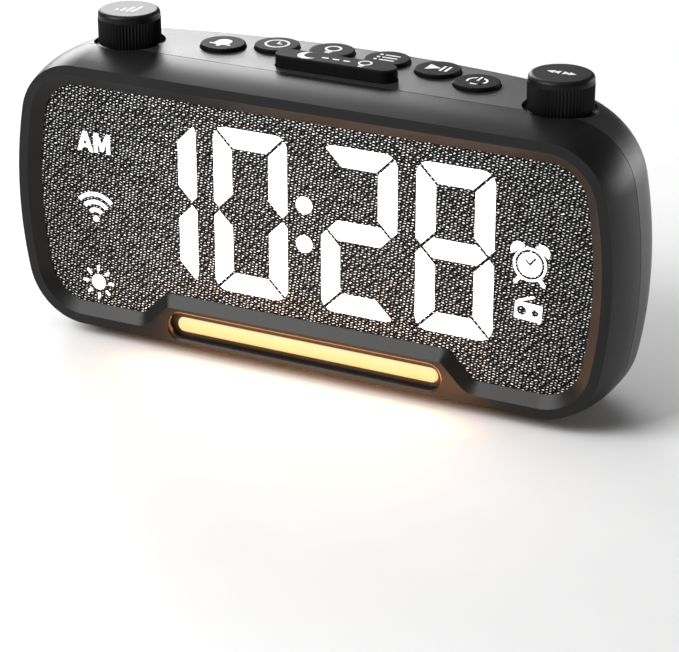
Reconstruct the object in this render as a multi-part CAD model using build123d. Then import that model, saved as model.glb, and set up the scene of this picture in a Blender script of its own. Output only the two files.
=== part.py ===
from build123d import *
import os
from math import atan2, cos, degrees, pi, sin, sqrt, tan

os.makedirs("parts", exist_ok=True)

# ---------------------------------------------------------------- driving sizes, mm
# +X is the right of someone facing the clock, -Y is its front, +Z is up.
# The origin is on the surface it stands on, under the middle of the case.

# case
DEPTH = 50.5            # front lip to the middle of the back
OPENING_W = 177.6       # cloth opening, at mid height
OPENING_H = 68.8
OPENING_CORNER_R = 12.1
OPENING_SIDE_R = 127.0  # the opening's sides bow outwards on this radius
FUNNEL_W = 3.5          # slope from the cloth out to the lip, seen from the front
LIP_W = 3.0             # flat lip round the funnel
LIP_PROUD = 2.4         # lip in front of the funnel's foot
FUNNEL_LAND = 0.3       # short square step between the funnel's foot and the cloth
RIM_RISE = 2.3          # how much wider the seam is than the lip
RIM_DEPTH = 15.8        # lip to seam
SEAM_GAP = 0.3
TONGUE_DEPTH = 2.2      # housing's tongue inside the bezel's rear edge
TONGUE_T = 1.0
FIT = 0.1               # gap all round between still pieces that nest
SLACK = 0.3             # gap all round a piece that moves
WALL = 2.2
FRONT_WALL = 4.4        # lip to the bezel's inner face
BACK_BOW_R = 300.0      # the back is bowed, seen from above
BACK_SIDE_R = 20.0      # the sides turn in towards the back on this radius
BACK_SIDE_START = 5.2   # seam to where that turn begins
BACK_EDGE_R = 5.0

# bridge under the cloth, and the light bar in it
BRIDGE_RISE = 8.0
BRIDGE_HALF = 50.2      # middle of its slanted ends
BRIDGE_TOP_R = 5.0
BRIDGE_FOOT_R = 4.0
POCKET_L = 89.4
POCKET_H = 8.3
POCKET_DROP = 35.45     # below the middle of the face
POCKET_DEPTH = 2.8
POCKET_EDGE = 0.6       # bevel round the pocket's mouth
LENS_L = 85.7
LENS_H = 4.65
LENS_DROP = 35.8
LENS_FLANGE = 1.4       # lens flange standing out all round, behind the pocket

# cloth and display
CLOTH_T = 0.7
CLOTH_TUCK = 2.3        # cloth and plate behind the opening's edge
REFLECTOR_T = 8.5
PCB_T = 1.6
DIGIT_W = 24.0
DIGIT_H = 50.7
STROKE = 6.03
SEGMENT_GAP = 0.7
DIGIT_CORNER = 4.0      # round of each digit's outer corners
DIGIT_CROSS = 1.6       # crossing of the middle gaps, in from the digit's side
DIGIT_LEFTS = (-59.1, -29.3, 5.6, 35.4)
DIGIT_FOOT = -21.8      # digits' lower edge from the middle of the face
COLON_D = 5.3
COLON_Z = (9.3, -2.6)
SIGN_INSET = 18.7       # middle of the side signs, in from the opening's side
LEFT_SIGNS = ((17.2, 12.6, 7.6), (-2.9, 8.2, 11.4), (-27.4, 12.4, 7.6))
RIGHT_SIGNS = ((3.8, 13.0, 14.4), (-9.3, 9.0, 8.0))

# feet and screws
FOOT_H = 1.8
FOOT_D = 7.0
FOOT_SET = 0.6          # let into the base
FOOT_INSET = 36.0       # foot centres, in from the sides
FOOT_FRONT = 11.3       # front pair, back from the lip
FOOT_BACK = 10.0        # rear pair, forward from the bowed back where they stand
CASE_SCREW_INSET = 13.6
CASE_SCREW_Z = 19.0
CASE_SCREW_R = 1.25
CASE_HEAD_R = 2.3
BOSS_R = 3.3
SMALL_SCREW_R = 0.9
SMALL_HEAD_R = 1.7
SMALL_HEAD_T = 1.2
BACK_SCREW_L = 3.0      # thread of the screws into the housing's posts

# controls on the deck
KNOB_R = 9.4
KNOB_H = 9.6            # above the deck
KNOB_INSET = 28.5       # knob centres, in from the sides
KNOB_BACK = 7.85        # and back from the seam
KNOB_RING = 1.35        # recess all round the knob
KNOB_RECESS = 1.8
KNOB_RIBS = 60
RIB_DEPTH = 0.35
SHAFT_R = 3.0
SHAFT_FLAT = 1.4
KNOB_PUSH = 0.5
BUTTON_R = 6.75
BUTTON_PROUD = 1.2
BUTTON_PUSH = 0.6
BUTTONS = (             # name, sideways place, and distance from the back
    ("alarm", -41.0, 20.2), ("clock", -26.1, 14.2), ("light", -9.0, 12.1),
    ("preset", 9.0, 12.1), ("play", 26.1, 14.2), ("power", 41.0, 20.2))
SNOOZE_L = 38.4
SNOOZE_W = 7.7
SNOOZE_PROUD = 3.7
SNOOZE_BACK = 7.25      # middle, back from the seam
FLANGE_OUT = 1.0        # button flange under the deck
FLANGE_T = 1.2
CONTROL_DROP = 10.0     # deck's underside down to the control board
SWITCH_SIDE = 6.0
SWITCH_H = 3.6
PLUNGER_R = 1.75
PLUNGER_OUT = 0.8
ENCODER_SIDE = 12.0
ENCODER_H = 6.0
BOARD_MARGIN = 2.0      # control board, past the encoders
BOARD_CLEAR = 5.0       # its rear edge, forward of the bowed back
BOARD_CHAMFER = 25.0    # sideways length of its slanted rear corners
POST_MARGIN = 3.5       # its widest point, past the posts

# inside the back
MAIN_BOARD_BACK = 13.25  # its rear face, forward of the middle of the back
SPEAKER_X = -40.0
SPEAKER_SIDE = 40.0
SPEAKER_MOUNT = 11.55    # speaker's flange, forward of the middle of the back
GASKET_T = 0.8
CONE_TRAVEL = 1.0
VENT_R = 1.0
VENT_PITCH = 3.7
POWER_X = 4.0
CHARGE_X = 20.0
SOCKET_DROP = 25.0       # sockets below the middle of the face
BATTERY_X = 46.0
BATTERY_DROP = 22.0
CELL_R = 10.0
CELL_T = 3.2
DOOR_W = 27.0
DOOR_H = 27.0
DOOR_T = 2.0
POWER_W = 9.0            # shells of the two sockets
POWER_H = 3.3
CHARGE_W = 13.2
CHARGE_H = 5.8
LEDGE_Z = 8.0            # display board's ledges, above and below the middle

# ---------------------------------------------------------------- places worked out from them
FRONT_Y = -DEPTH / 2
BACK_Y = DEPTH / 2
FUNNEL_Y = FRONT_Y + LIP_PROUD
CLOTH_Y = FUNNEL_Y + FUNNEL_LAND
PLATE_Y = CLOTH_Y + CLOTH_T
INNER_FRONT_Y = FRONT_Y + FRONT_WALL
SEAM_Y = FRONT_Y + RIM_DEPTH
LIP_OUT = FUNNEL_W + LIP_W
SEAM_OUT = LIP_OUT + RIM_RISE
HALF_W = OPENING_W / 2 + SEAM_OUT
HALF_H = OPENING_H / 2 + SEAM_OUT
FACE_Z = FOOT_H + HALF_H
DECK_Z = FACE_Z + HALF_H
DECK_UNDER = DECK_Z - WALL
BOARD_Y = INNER_FRONT_Y + REFLECTOR_T
CONTROL_Z = DECK_UNDER - CONTROL_DROP
MAIN_Y = BACK_Y - MAIN_BOARD_BACK
MOUNT_Y = BACK_Y - SPEAKER_MOUNT
FRAME_HOLE_R = SPEAKER_SIDE / 2 - 2.8
CONE_R = FRAME_HOLE_R - 2.6
KNOB_X = HALF_W - KNOB_INSET
KNOB_Y = SEAM_Y + KNOB_BACK
SNOOZE_Y = SEAM_Y + SNOOZE_BACK
CASE_SCREW_X = HALF_W - CASE_SCREW_INSET
DISPLAY_HALF = CASE_SCREW_X - BOSS_R - 1.4
SIGN_X = OPENING_W / 2 - SIGN_INSET
EAR_X = DISPLAY_HALF + 5.2
FOOT_X = HALF_W - FOOT_INSET
CASE_JOIN_Y = SEAM_Y + 7.5
CASE_LEDGE_Y = CASE_JOIN_Y + 6.0
SPEAKER_CORNER = SPEAKER_SIDE / 2 - 2.8
DOOR_SCREW_Z = -BATTERY_DROP + DOOR_H / 2 - 3.4
CONTROL_POSTS = (
    (-KNOB_X + 13.6, BACK_Y - 16.2), (KNOB_X - 13.6, BACK_Y - 16.2),
    (-33.0, SEAM_Y + 5.0), (33.0, SEAM_Y + 5.0))
MAIN_POSTS = ((-8.0, -31.0), (-8.0, 16.0), (71.0, -29.0), (71.0, 16.0))
BACKWARDS = (0, 1, 0)
FORWARDS = (0, -1, 0)

# ---------------------------------------------------------------- helpers


def facing_front(y):
    """Plane across the case at depth y, x to the right, z up from the face's middle."""
    return Plane(origin=(0, y, FACE_Z), x_dir=(1, 0, 0), z_dir=(0, -1, 0))


def slab(face, y0, y1):
    """A face drawn as seen from the front, swept from depth y0 back to y1."""
    return extrude(facing_front(y0) * face, amount=y1 - y0, dir=BACKWARDS)


def rod(x, z, radius, y0, y1):
    """Round bar along Y, its place measured from the middle of the face."""
    return slab(Pos(x, z) * Circle(radius), y0, y1)


def post(x, y, radius, z0, z1):
    """Round bar along Z, from height z0 up to z1."""
    return Pos(x, y, z0) * extrude(Circle(radius), amount=z1 - z0)


def block(x0, x1, y0, y1, z0, z1):
    size = Box(x1 - x0, y1 - y0, z1 - z0)
    return Pos((x0 + x1) / 2, (y0 + y1) / 2, (z0 + z1) / 2) * size


def back_y(x):
    """Depth of the back's outer face at sideways place x."""
    return BACK_Y - BACK_BOW_R + sqrt(BACK_BOW_R**2 - x**2)


def both_sides(x):
    return (-x, x)


FRONT_FOOT_Y = FRONT_Y + FOOT_FRONT
REAR_FOOT_Y = back_y(FOOT_X) - FOOT_BACK


def save(name, *solids):
    """One node: a single solid, or a group of separate ones."""
    made = solids[0] if len(solids) == 1 else Compound(children=list(solids))
    export_step(made, f"parts/{name}.step")


def bowed_outline(half_w, half_h, corner_r, side_r):
    """Rounded rectangle with flat top and bottom and bowed sides, all tangent."""
    bow_x = half_w - side_r
    corner_z = half_h - corner_r
    corner_x = bow_x + sqrt((side_r - corner_r) ** 2 - corner_z**2)
    turn = degrees(atan2(corner_z, corner_x - bow_x))
    return make_face([
        CenterArc((bow_x, 0), side_r, -turn, 2 * turn),
        CenterArc((corner_x, corner_z), corner_r, turn, 90 - turn),
        Line((corner_x, half_h), (-corner_x, half_h)),
        CenterArc((-corner_x, corner_z), corner_r, 90, 90 - turn),
        CenterArc((-bow_x, 0), side_r, 180 - turn, 2 * turn),
        CenterArc((-corner_x, -corner_z), corner_r, 180 + turn, 90 - turn),
        Line((-corner_x, -half_h), (corner_x, -half_h)),
        CenterArc((corner_x, -corner_z), corner_r, 270, 90 - turn),
    ])


def face_outline(out):
    """The cloth opening's outline without the bridge, grown by out all round."""
    return bowed_outline(OPENING_W / 2 + out, OPENING_H / 2 + out,
                         OPENING_CORNER_R + out, OPENING_SIDE_R + out)


def opening(out):
    """The cloth opening with the bridge rising into it, grown by out all round."""
    low = -OPENING_H / 2 - out
    half = BRIDGE_HALF - out * tan(pi / 8)
    foot = half + BRIDGE_RISE / 2
    top = half - BRIDGE_RISE / 2
    below = 3.0
    bridge = make_face(Polyline(
        (foot + below, low - below), (top, low + BRIDGE_RISE),
        (-top, low + BRIDGE_RISE), (-foot - below, low - below), close=True))
    shape = face_outline(out) - bridge
    tops = [v for v in shape.vertices()
            if abs(v.X) < foot + 0.5 and low + BRIDGE_RISE / 2 < v.Y]
    shape = fillet(tops, BRIDGE_TOP_R - out)
    feet = [v for v in shape.vertices() if abs(abs(v.X) - foot) < 0.01 and v.Y < low + 0.01]
    return fillet(feet, BRIDGE_FOOT_R + out)


def slot(length, height, drop):
    return Pos(0, -drop) * SlotOverall(length, height)


# ---------------------------------------------------------------- case


def rim_out(y):
    """Outward offset of the bezel's outside at depth y, an arc square to the seam."""
    arc_r = (RIM_DEPTH**2 + RIM_RISE**2) / (2 * RIM_RISE)
    return SEAM_OUT - arc_r + sqrt(arc_r**2 - (y - SEAM_Y) ** 2)


def rim_form(inset, y_front, y_rear):
    steps = 4
    depths = [y_front + (y_rear - y_front) * i / steps for i in range(steps + 1)]
    return loft([facing_front(y) * face_outline(rim_out(y) - inset) for y in depths])


def knob_pad(x, grow):
    return post(x, KNOB_Y, KNOB_R + KNOB_RING + 1.6 + grow, DECK_Z - KNOB_RECESS - 2, DECK_Z)


def knob_recess(x):
    return post(x, KNOB_Y, KNOB_R + KNOB_RING, DECK_Z - KNOB_RECESS, DECK_Z + 1)


def make_front_bezel():
    rear = SEAM_Y - SEAM_GAP / 2
    outside = rim_form(0, FRONT_Y, rear)
    ring = outside - rim_form(WALL, INNER_FRONT_Y, rear)
    ring -= slab(face_outline(SEAM_OUT - TONGUE_T - FIT), SEAM_Y - TONGUE_DEPTH - FIT, rear)
    ring -= loft([facing_front(FRONT_Y) * opening(FUNNEL_W), facing_front(FUNNEL_Y) * opening(0)],
                 ruled=True)
    ring -= slab(opening(0), FUNNEL_Y, CLOTH_Y)
    ring -= slab(opening(CLOTH_TUCK), CLOTH_Y, INNER_FRONT_Y)
    for x in both_sides(KNOB_X):
        ring += knob_pad(x, 0) & outside
        ring -= knob_recess(x)
    # light pocket with a bevelled mouth, and the slot for the lens in its floor
    ring -= slab(slot(POCKET_L, POCKET_H, POCKET_DROP), FRONT_Y, FRONT_Y + POCKET_DEPTH)
    ring -= loft([facing_front(FRONT_Y) * slot(POCKET_L + 2 * POCKET_EDGE,
                                               POCKET_H + 2 * POCKET_EDGE, POCKET_DROP),
                  facing_front(FRONT_Y + POCKET_EDGE) * slot(POCKET_L, POCKET_H, POCKET_DROP)])
    ring -= slab(slot(LENS_L + 2 * FIT, LENS_H + 2 * FIT, LENS_DROP), FRONT_Y, INNER_FRONT_Y)
    # bosses for the case screws, each held to the side wall by a rib, and board ledges
    wall_x = HALF_W - 1.5 * WALL
    boss_rear = SEAM_Y + 7.4
    for side in (-1, 1):
        for z in both_sides(CASE_SCREW_Z):
            x = side * CASE_SCREW_X
            rib = slab(Pos((x + side * wall_x) / 2, z) * Rectangle(wall_x - CASE_SCREW_X, 2.0),
                       INNER_FRONT_Y, rear - TONGUE_DEPTH - FIT)
            boss = rod(x, z, BOSS_R, INNER_FRONT_Y, boss_rear)
            ring += rib + boss
            ring -= rod(x, z, CASE_SCREW_R, boss_rear - 9, boss_rear)
        for z in both_sides(LEDGE_Z):
            inner_x = DISPLAY_HALF + 1.6
            ring += slab(Pos(side * (inner_x + wall_x) / 2, z) * Rectangle(wall_x - inner_x, 6.0),
                         INNER_FRONT_Y, BOARD_Y)
            ring -= rod(side * EAR_X, z, SMALL_SCREW_R, BOARD_Y - 6, BOARD_Y)
    for x in both_sides(FOOT_X):
        ring -= post(x, FRONT_FOOT_Y, FOOT_D / 2 + FIT, 0, FOOT_H + FOOT_SET)
    return ring


def side_turn(y, start_y, radius):
    """How far the side has turned in at depth y: an arc, then straight on."""
    straight_from = start_y + 0.8 * radius
    if y <= start_y:
        return 0.0
    if y <= straight_from:
        return radius - sqrt(radius**2 - (y - start_y) ** 2)
    return 0.4 * radius + (y - straight_from) * 4 / 3


def housing_form(inset, y_front):
    """Rear housing's form, with every surface moved inwards by inset."""
    start_y = SEAM_Y + BACK_SIDE_START
    radius = BACK_SIDE_R - inset
    depths = [y_front, (y_front + start_y) / 2, start_y]
    depths += [start_y + radius * share for share in (0.2, 0.4, 0.6, 0.8)]
    depths += [start_y + radius, BACK_Y - inset + 2]
    sections = []
    for y in depths:
        outline = bowed_outline(HALF_W - inset - side_turn(y, start_y, radius), HALF_H - inset,
                                OPENING_CORNER_R + SEAM_OUT - inset, OPENING_SIDE_R + SEAM_OUT - inset)
        sections.append(facing_front(y) * outline)
    bow_r = BACK_BOW_R - inset
    drum = Pos(0, BACK_Y - inset - bow_r, FACE_Z) * Cylinder(bow_r, 2 * HALF_H + 10)
    form = loft(sections) & drum
    back_face = form.faces().sort_by(Axis.Y)[-1]
    return fillet(back_face.edges(), max(BACK_EDGE_R - inset, 1.0))


OUTER = housing_form(0, SEAM_Y + SEAM_GAP / 2)
CAVITY = housing_form(WALL, SEAM_Y + SEAM_GAP / 2)


def behind(face, y0):
    """All of the housing's form that lies behind y0 within the face's outline."""
    return slab(face, y0, BACK_Y + 1) & OUTER


def back_skin(face, thickness):
    """A plate within the face's outline that follows the back's outside."""
    return behind(face, 0) - Pos(0, -thickness, 0) * OUTER


def door_face(grow):
    return Pos(BATTERY_X, -BATTERY_DROP) * RectangleRounded(
        DOOR_W + 2 * grow, DOOR_H + 2 * grow, 3.0 + grow)


def vent_places():
    """Hexagonal pattern of sound holes over the speaker's cone."""
    reach = CONE_R + 0.9
    rows = int(reach / (VENT_PITCH * sqrt(3) / 2))
    for row in range(-rows, rows + 1):
        z = row * VENT_PITCH * sqrt(3) / 2
        for col in range(-5, 6):
            x = (col + (row % 2) / 2) * VENT_PITCH
            if x * x + z * z < reach * reach:
                yield SPEAKER_X + x, z


def make_main_housing():
    shell = OUTER - CAVITY
    tongue_face = face_outline(SEAM_OUT - TONGUE_T - 2 * FIT) - face_outline(SEAM_OUT - WALL)
    tongue = slab(tongue_face, SEAM_Y - TONGUE_DEPTH, SEAM_Y + SEAM_GAP)
    # knob recesses, each with a pad under it that the bezel's pad meets at the seam
    for x in both_sides(KNOB_X):
        tongue -= knob_pad(x, FIT)
    shell += tongue
    for x in both_sides(KNOB_X):
        shell += knob_pad(x, 0) & OUTER
    for x in both_sides(KNOB_X):
        shell -= knob_recess(x)
        shell -= post(x, KNOB_Y, SHAFT_R + 0.5, DECK_Z - 6, DECK_Z)
    # button holes and the snooze bar's slot
    for _, x, from_back in BUTTONS:
        shell -= post(x, BACK_Y - from_back, BUTTON_R + SLACK, DECK_UNDER - 1, DECK_Z + 1)
    shell -= Pos(0, SNOOZE_Y, DECK_UNDER - 1) * extrude(
        SlotOverall(SNOOZE_L + 2 * SLACK, SNOOZE_W + 2 * SLACK), amount=WALL + 2)
    # posts for the control board, under the deck
    for x, y in CONTROL_POSTS:
        shell += post(x, y, 2.8, CONTROL_Z, DECK_UNDER + WALL / 2)
        shell -= post(x, y, SMALL_SCREW_R, CONTROL_Z, CONTROL_Z + 6)
    # columns for the case screws
    for x in both_sides(CASE_SCREW_X):
        for z in both_sides(CASE_SCREW_Z):
            shell += rod(x, z, BOSS_R + 1.0, CASE_JOIN_Y, BACK_Y) & OUTER
            shell -= rod(x, z, CASE_SCREW_R + 0.2, CASE_JOIN_Y, BACK_Y)
            shell -= rod(x, z, CASE_HEAD_R + 0.3, CASE_LEDGE_Y, BACK_Y)
    # posts for the main board and the speaker, and the ring that the gasket seals on
    for x, z in MAIN_POSTS:
        shell += rod(x, z, 2.8, MAIN_Y, back_y(x) - WALL / 2)
        shell -= rod(x, z, SMALL_SCREW_R, MAIN_Y, MAIN_Y + BACK_SCREW_L)
    ring_face = Circle(SPEAKER_SIDE / 2 - 0.3) - Circle(SPEAKER_SIDE / 2 - 2.3)
    shell += slab(Pos(SPEAKER_X, 0) * ring_face, MOUNT_Y + GASKET_T, BACK_Y) & OUTER
    for dx in both_sides(SPEAKER_CORNER):
        for dz in both_sides(SPEAKER_CORNER):
            x = SPEAKER_X + dx
            shell += rod(x, dz, 2.4, MOUNT_Y, back_y(x) - WALL / 2)
            shell -= rod(x, dz, SMALL_SCREW_R, MOUNT_Y, MOUNT_Y + BACK_SCREW_L)
    shell -= [rod(x, z, VENT_R, MOUNT_Y, BACK_Y + 1) for x, z in vent_places()]
    # sockets
    shell -= slab(socket_face(POWER_X, POWER_W, POWER_H, FIT), MAIN_Y, BACK_Y + 1)
    shell -= slab(socket_face(CHARGE_X, CHARGE_W, CHARGE_H, FIT), MAIN_Y, BACK_Y + 1)
    # battery hatch: frame, rebate for the door, opening, and a lug for its screw
    shell += back_skin(door_face(1.8), DOOR_T + WALL)
    shell -= back_skin(door_face(SLACK), DOOR_T + SLACK)
    hatch = door_face(-1.6) - Pos(BATTERY_X, DOOR_SCREW_Z + 1.0) * Rectangle(8.0, 6.5)
    shell -= slab(hatch, MAIN_Y + CELL_T, BACK_Y + 1)
    shell -= rod(BATTERY_X, DOOR_SCREW_Z, 1.1 + SLACK, MAIN_Y, BACK_Y + 1)
    for x in both_sides(FOOT_X):
        shell -= post(x, REAR_FOOT_Y, FOOT_D / 2 + FIT, 0, FOOT_H + FOOT_SET)
    return shell


def socket_face(x, width, height, grow):
    corner = height / 2 - 0.05 if width < 10 else 0.6
    return Pos(x, -SOCKET_DROP) * RectangleRounded(width + 2 * grow, height + 2 * grow, corner + grow)


# ---------------------------------------------------------------- cloth and display


def digit_segments(left):
    """One figure's seven segments: a rounded eight, cut apart by slanted gaps."""
    mid = DIGIT_H / 2
    hole_h = mid - 1.5 * STROKE
    eight = Pos(DIGIT_W / 2, mid) * RectangleRounded(DIGIT_W, DIGIT_H, DIGIT_CORNER)
    for z in (STROKE + hole_h / 2, DIGIT_H - STROKE - hole_h / 2):
        eight -= Pos(DIGIT_W / 2, z) * Rectangle(DIGIT_W - 2 * STROKE, hole_h)
    slope = (STROKE / 2) / (STROKE - DIGIT_CROSS)
    reach = 2.0
    for up in (1, -1):
        for side in (0, 1):
            def place(x, z):
                return (x if side == 0 else DIGIT_W - x, mid + up * z)
            corner = (place(-reach, mid + reach), place(STROKE + 0.2, mid - STROKE - 0.2))
            cross = (place(STROKE + 0.4, STROKE / 2 + 0.4 * slope),
                     place(-reach, -(DIGIT_CROSS + reach) * slope))
            for start, end in (corner, cross):
                eight -= gap_strip(start, end)
    # the crossing gaps leave a crumb at each side, which stays dark
    return [Pos(left, DIGIT_FOOT) * face for face in eight.faces() if face.area > STROKE]


def gap_strip(start, end):
    line = Line(start, end)
    turn = degrees(atan2(end[1] - start[1], end[0] - start[0]))
    return Pos(line @ 0.5) * Rot(0, 0, turn) * Rectangle(line.length, SEGMENT_GAP)


def sign_faces():
    places = [(-SIGN_X, sign) for sign in LEFT_SIGNS] + [(SIGN_X, sign) for sign in RIGHT_SIGNS]
    return [Pos(x, z) * RectangleRounded(w, h, 1.0) for x, (z, w, h) in places]


COLON_X = (DIGIT_LEFTS[1] + DIGIT_W + DIGIT_LEFTS[2]) / 2
WINDOWS = [face for left in DIGIT_LEFTS for face in digit_segments(left)]
WINDOWS += [Pos(COLON_X, z) * Circle(COLON_D / 2) for z in COLON_Z]
WINDOWS += sign_faces()
DIFFUSER_T = 2.0
LED_T = 0.9
DISPLAY_SCREW_L = 4.0


def make_grille_cloth():
    return slab(opening(CLOTH_TUCK - FIT), CLOTH_Y, PLATE_Y)


def make_grille_plate():
    plate = slab(opening(CLOTH_TUCK - FIT), PLATE_Y, INNER_FRONT_Y)
    return plate - [slab(face, PLATE_Y, INNER_FRONT_Y) for face in WINDOWS]


def make_reflector():
    face = opening(-1.5) & Rectangle(2 * DISPLAY_HALF, OPENING_H)
    solid = slab(face, INNER_FRONT_Y, BOARD_Y)
    return solid - [slab(window, INNER_FRONT_Y, BOARD_Y) for window in WINDOWS]


def make_display_board():
    face = opening(-1.0) & Rectangle(2 * DISPLAY_HALF + 1, OPENING_H)
    for side in (-1, 1):
        for z in both_sides(LEDGE_Z):
            face += Pos(side * (EAR_X - 1), z) * Rectangle(8.0, 7.0)
            face -= Pos(side * EAR_X, z) * Circle(SMALL_SCREW_R + 0.2)
    return slab(face, BOARD_Y, BOARD_Y + PCB_T)


def small_screw(x, z, seat_y, length):
    """Pan-head screw driven forwards, its head's flat side at seat_y."""
    head = rod(x, z, SMALL_HEAD_R, seat_y, seat_y + SMALL_HEAD_T)
    head -= rod(x, z, 0.8, seat_y + SMALL_HEAD_T - 0.5, seat_y + SMALL_HEAD_T)
    return head + rod(x, z, SMALL_SCREW_R, seat_y - length, seat_y)


def display_leds():
    return [slab(Pos(face.center().X, face.center().Y) * Rectangle(2.8, 2.0), BOARD_Y - LED_T, BOARD_Y)
            for face in WINDOWS]


# ---------------------------------------------------------------- light bar

LIGHT_BOARD_Y = INNER_FRONT_Y + 3.2
LENS_FLANGE_T = 1.0
LIGHT_LEDS = 8


def make_light_lens():
    lens = slab(slot(LENS_L, LENS_H, LENS_DROP), FUNNEL_Y, INNER_FRONT_Y)
    lens = fillet(lens.faces().sort_by(Axis.Y)[0].edges(), 0.9)
    flange = slot(LENS_L + 2 * LENS_FLANGE, LENS_H + 2 * LENS_FLANGE, LENS_DROP)
    return lens + slab(flange, INNER_FRONT_Y, INNER_FRONT_Y + LENS_FLANGE_T)


def make_light_board():
    face = slot(LENS_L, LENS_H + 2 * LENS_FLANGE, LENS_DROP)
    return slab(face, LIGHT_BOARD_Y, LIGHT_BOARD_Y + 1.0)


def light_leds():
    pitch = LENS_L / LIGHT_LEDS
    starts = [(i - (LIGHT_LEDS - 1) / 2) * pitch for i in range(LIGHT_LEDS)]
    return [slab(Pos(x, -LENS_DROP) * Rectangle(3.5, 2.8), LIGHT_BOARD_Y - LED_T, LIGHT_BOARD_Y)
            for x in starts]


# ---------------------------------------------------------------- controls on the deck

SWITCH_TOP = CONTROL_Z + SWITCH_H
PLUNGER_TOP = SWITCH_TOP + PLUNGER_OUT
FLANGE_TOP = DECK_UNDER - SLACK
STEM_R = 2.5
BUTTON_PLACES = {name: (x, BACK_Y - from_back) for name, x, from_back in BUTTONS}
SWITCH_PLACES = dict(BUTTON_PLACES, snooze=(0.0, SNOOZE_Y))


def make_button(x, y):
    cap = post(x, y, BUTTON_R, FLANGE_TOP - FLANGE_T, DECK_Z + BUTTON_PROUD)
    cap = fillet(cap.faces().sort_by(Axis.Z)[-1].edges(), 0.45)
    cap += post(x, y, BUTTON_R + FLANGE_OUT, FLANGE_TOP - FLANGE_T, FLANGE_TOP)
    return cap + post(x, y, STEM_R, PLUNGER_TOP, FLANGE_TOP)


def make_snooze_bar():
    base = Pos(0, SNOOZE_Y, FLANGE_TOP - FLANGE_T)
    bar = base * extrude(SlotOverall(SNOOZE_L, SNOOZE_W),
                         amount=DECK_Z + SNOOZE_PROUD - FLANGE_TOP + FLANGE_T)
    bar = fillet(bar.faces().sort_by(Axis.Z)[-1].edges(), 0.5)
    flange = SlotOverall(SNOOZE_L + 2 * FLANGE_OUT, SNOOZE_W + 2 * FLANGE_OUT)
    bar += base * extrude(flange, amount=FLANGE_T)
    return bar + post(0, SNOOZE_Y, STEM_R, PLUNGER_TOP, FLANGE_TOP)


def make_plunger(x, y):
    return post(x, y, PLUNGER_R, PLUNGER_TOP - 2.0, PLUNGER_TOP)


def make_switch(x, y):
    half = SWITCH_SIDE / 2
    body = block(x - half, x + half, y - half, y + half, CONTROL_Z, SWITCH_TOP)
    return body - post(x, y, PLUNGER_R + SLACK, SWITCH_TOP - 2.4, SWITCH_TOP)


def make_control_board():
    """Board under the deck, narrower towards its ends, where the back curves in."""
    front = SEAM_Y + 1.2
    end_x = KNOB_X + ENCODER_SIDE / 2 + BOARD_MARGIN
    end_y = KNOB_Y + ENCODER_SIDE / 2 + BOARD_MARGIN
    wide_x = CONTROL_POSTS[1][0] + POST_MARGIN
    wide_y = back_y(wide_x) - BOARD_CLEAR
    rear_x = wide_x - BOARD_CHAMFER
    rear_y = back_y(rear_x) - BOARD_CLEAR
    face = make_face(Polyline(
        (-end_x, front), (end_x, front), (end_x, end_y), (wide_x, wide_y), (rear_x, rear_y),
        (-rear_x, rear_y), (-wide_x, wide_y), (-end_x, end_y), close=True))
    board = Pos(0, 0, CONTROL_Z - PCB_T) * extrude(face, amount=PCB_T)
    return board - [post(x, y, SMALL_SCREW_R + 0.2, CONTROL_Z - PCB_T, CONTROL_Z)
                    for x, y in CONTROL_POSTS]


def control_screw(x, y):
    seat = CONTROL_Z - PCB_T
    head = post(x, y, SMALL_HEAD_R, seat - SMALL_HEAD_T, seat)
    head -= post(x, y, 0.8, seat - SMALL_HEAD_T, seat - SMALL_HEAD_T + 0.5)
    return head + post(x, y, SMALL_SCREW_R, seat, seat + PCB_T + 4)


ENCODER_TOP = CONTROL_Z + ENCODER_H
CUP_FLOOR = CONTROL_Z + 0.8
ROTOR_Z = CONTROL_Z + 2.2
SHAFT_FOOT = CONTROL_Z + 1.6
SHAFT_TOP = DECK_Z + 7.0
PAD_UNDER = DECK_Z - KNOB_RECESS - 2


def d_shape(radius, flat_x):
    """Round with one flat, the flat on the far side."""
    return Circle(radius) & Pos(-radius + (flat_x + radius) / 2, 0) * Rectangle(flat_x + radius, 2 * radius)


def make_encoder(x):
    half = ENCODER_SIDE / 2
    body = block(x - half, x + half, KNOB_Y - half, KNOB_Y + half, CONTROL_Z, ENCODER_TOP)
    body += post(x, KNOB_Y, 4.5, ENCODER_TOP, PAD_UNDER - 0.2)
    body -= post(x, KNOB_Y, 5.2, CUP_FLOOR, ENCODER_TOP - 1.2)
    return body - post(x, KNOB_Y, SHAFT_R + 0.05, ENCODER_TOP - 1.2, PAD_UNDER)


def make_rotor(x):
    disc = Circle(4.8) - d_shape(SHAFT_R + 0.08, SHAFT_R - SHAFT_FLAT + 0.08)
    return Pos(x, KNOB_Y, ROTOR_Z) * extrude(disc, amount=2.2)


def make_shaft(x):
    return Pos(x, KNOB_Y, SHAFT_FOOT) * extrude(
        d_shape(SHAFT_R, SHAFT_R - SHAFT_FLAT), amount=SHAFT_TOP - SHAFT_FOOT)


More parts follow.
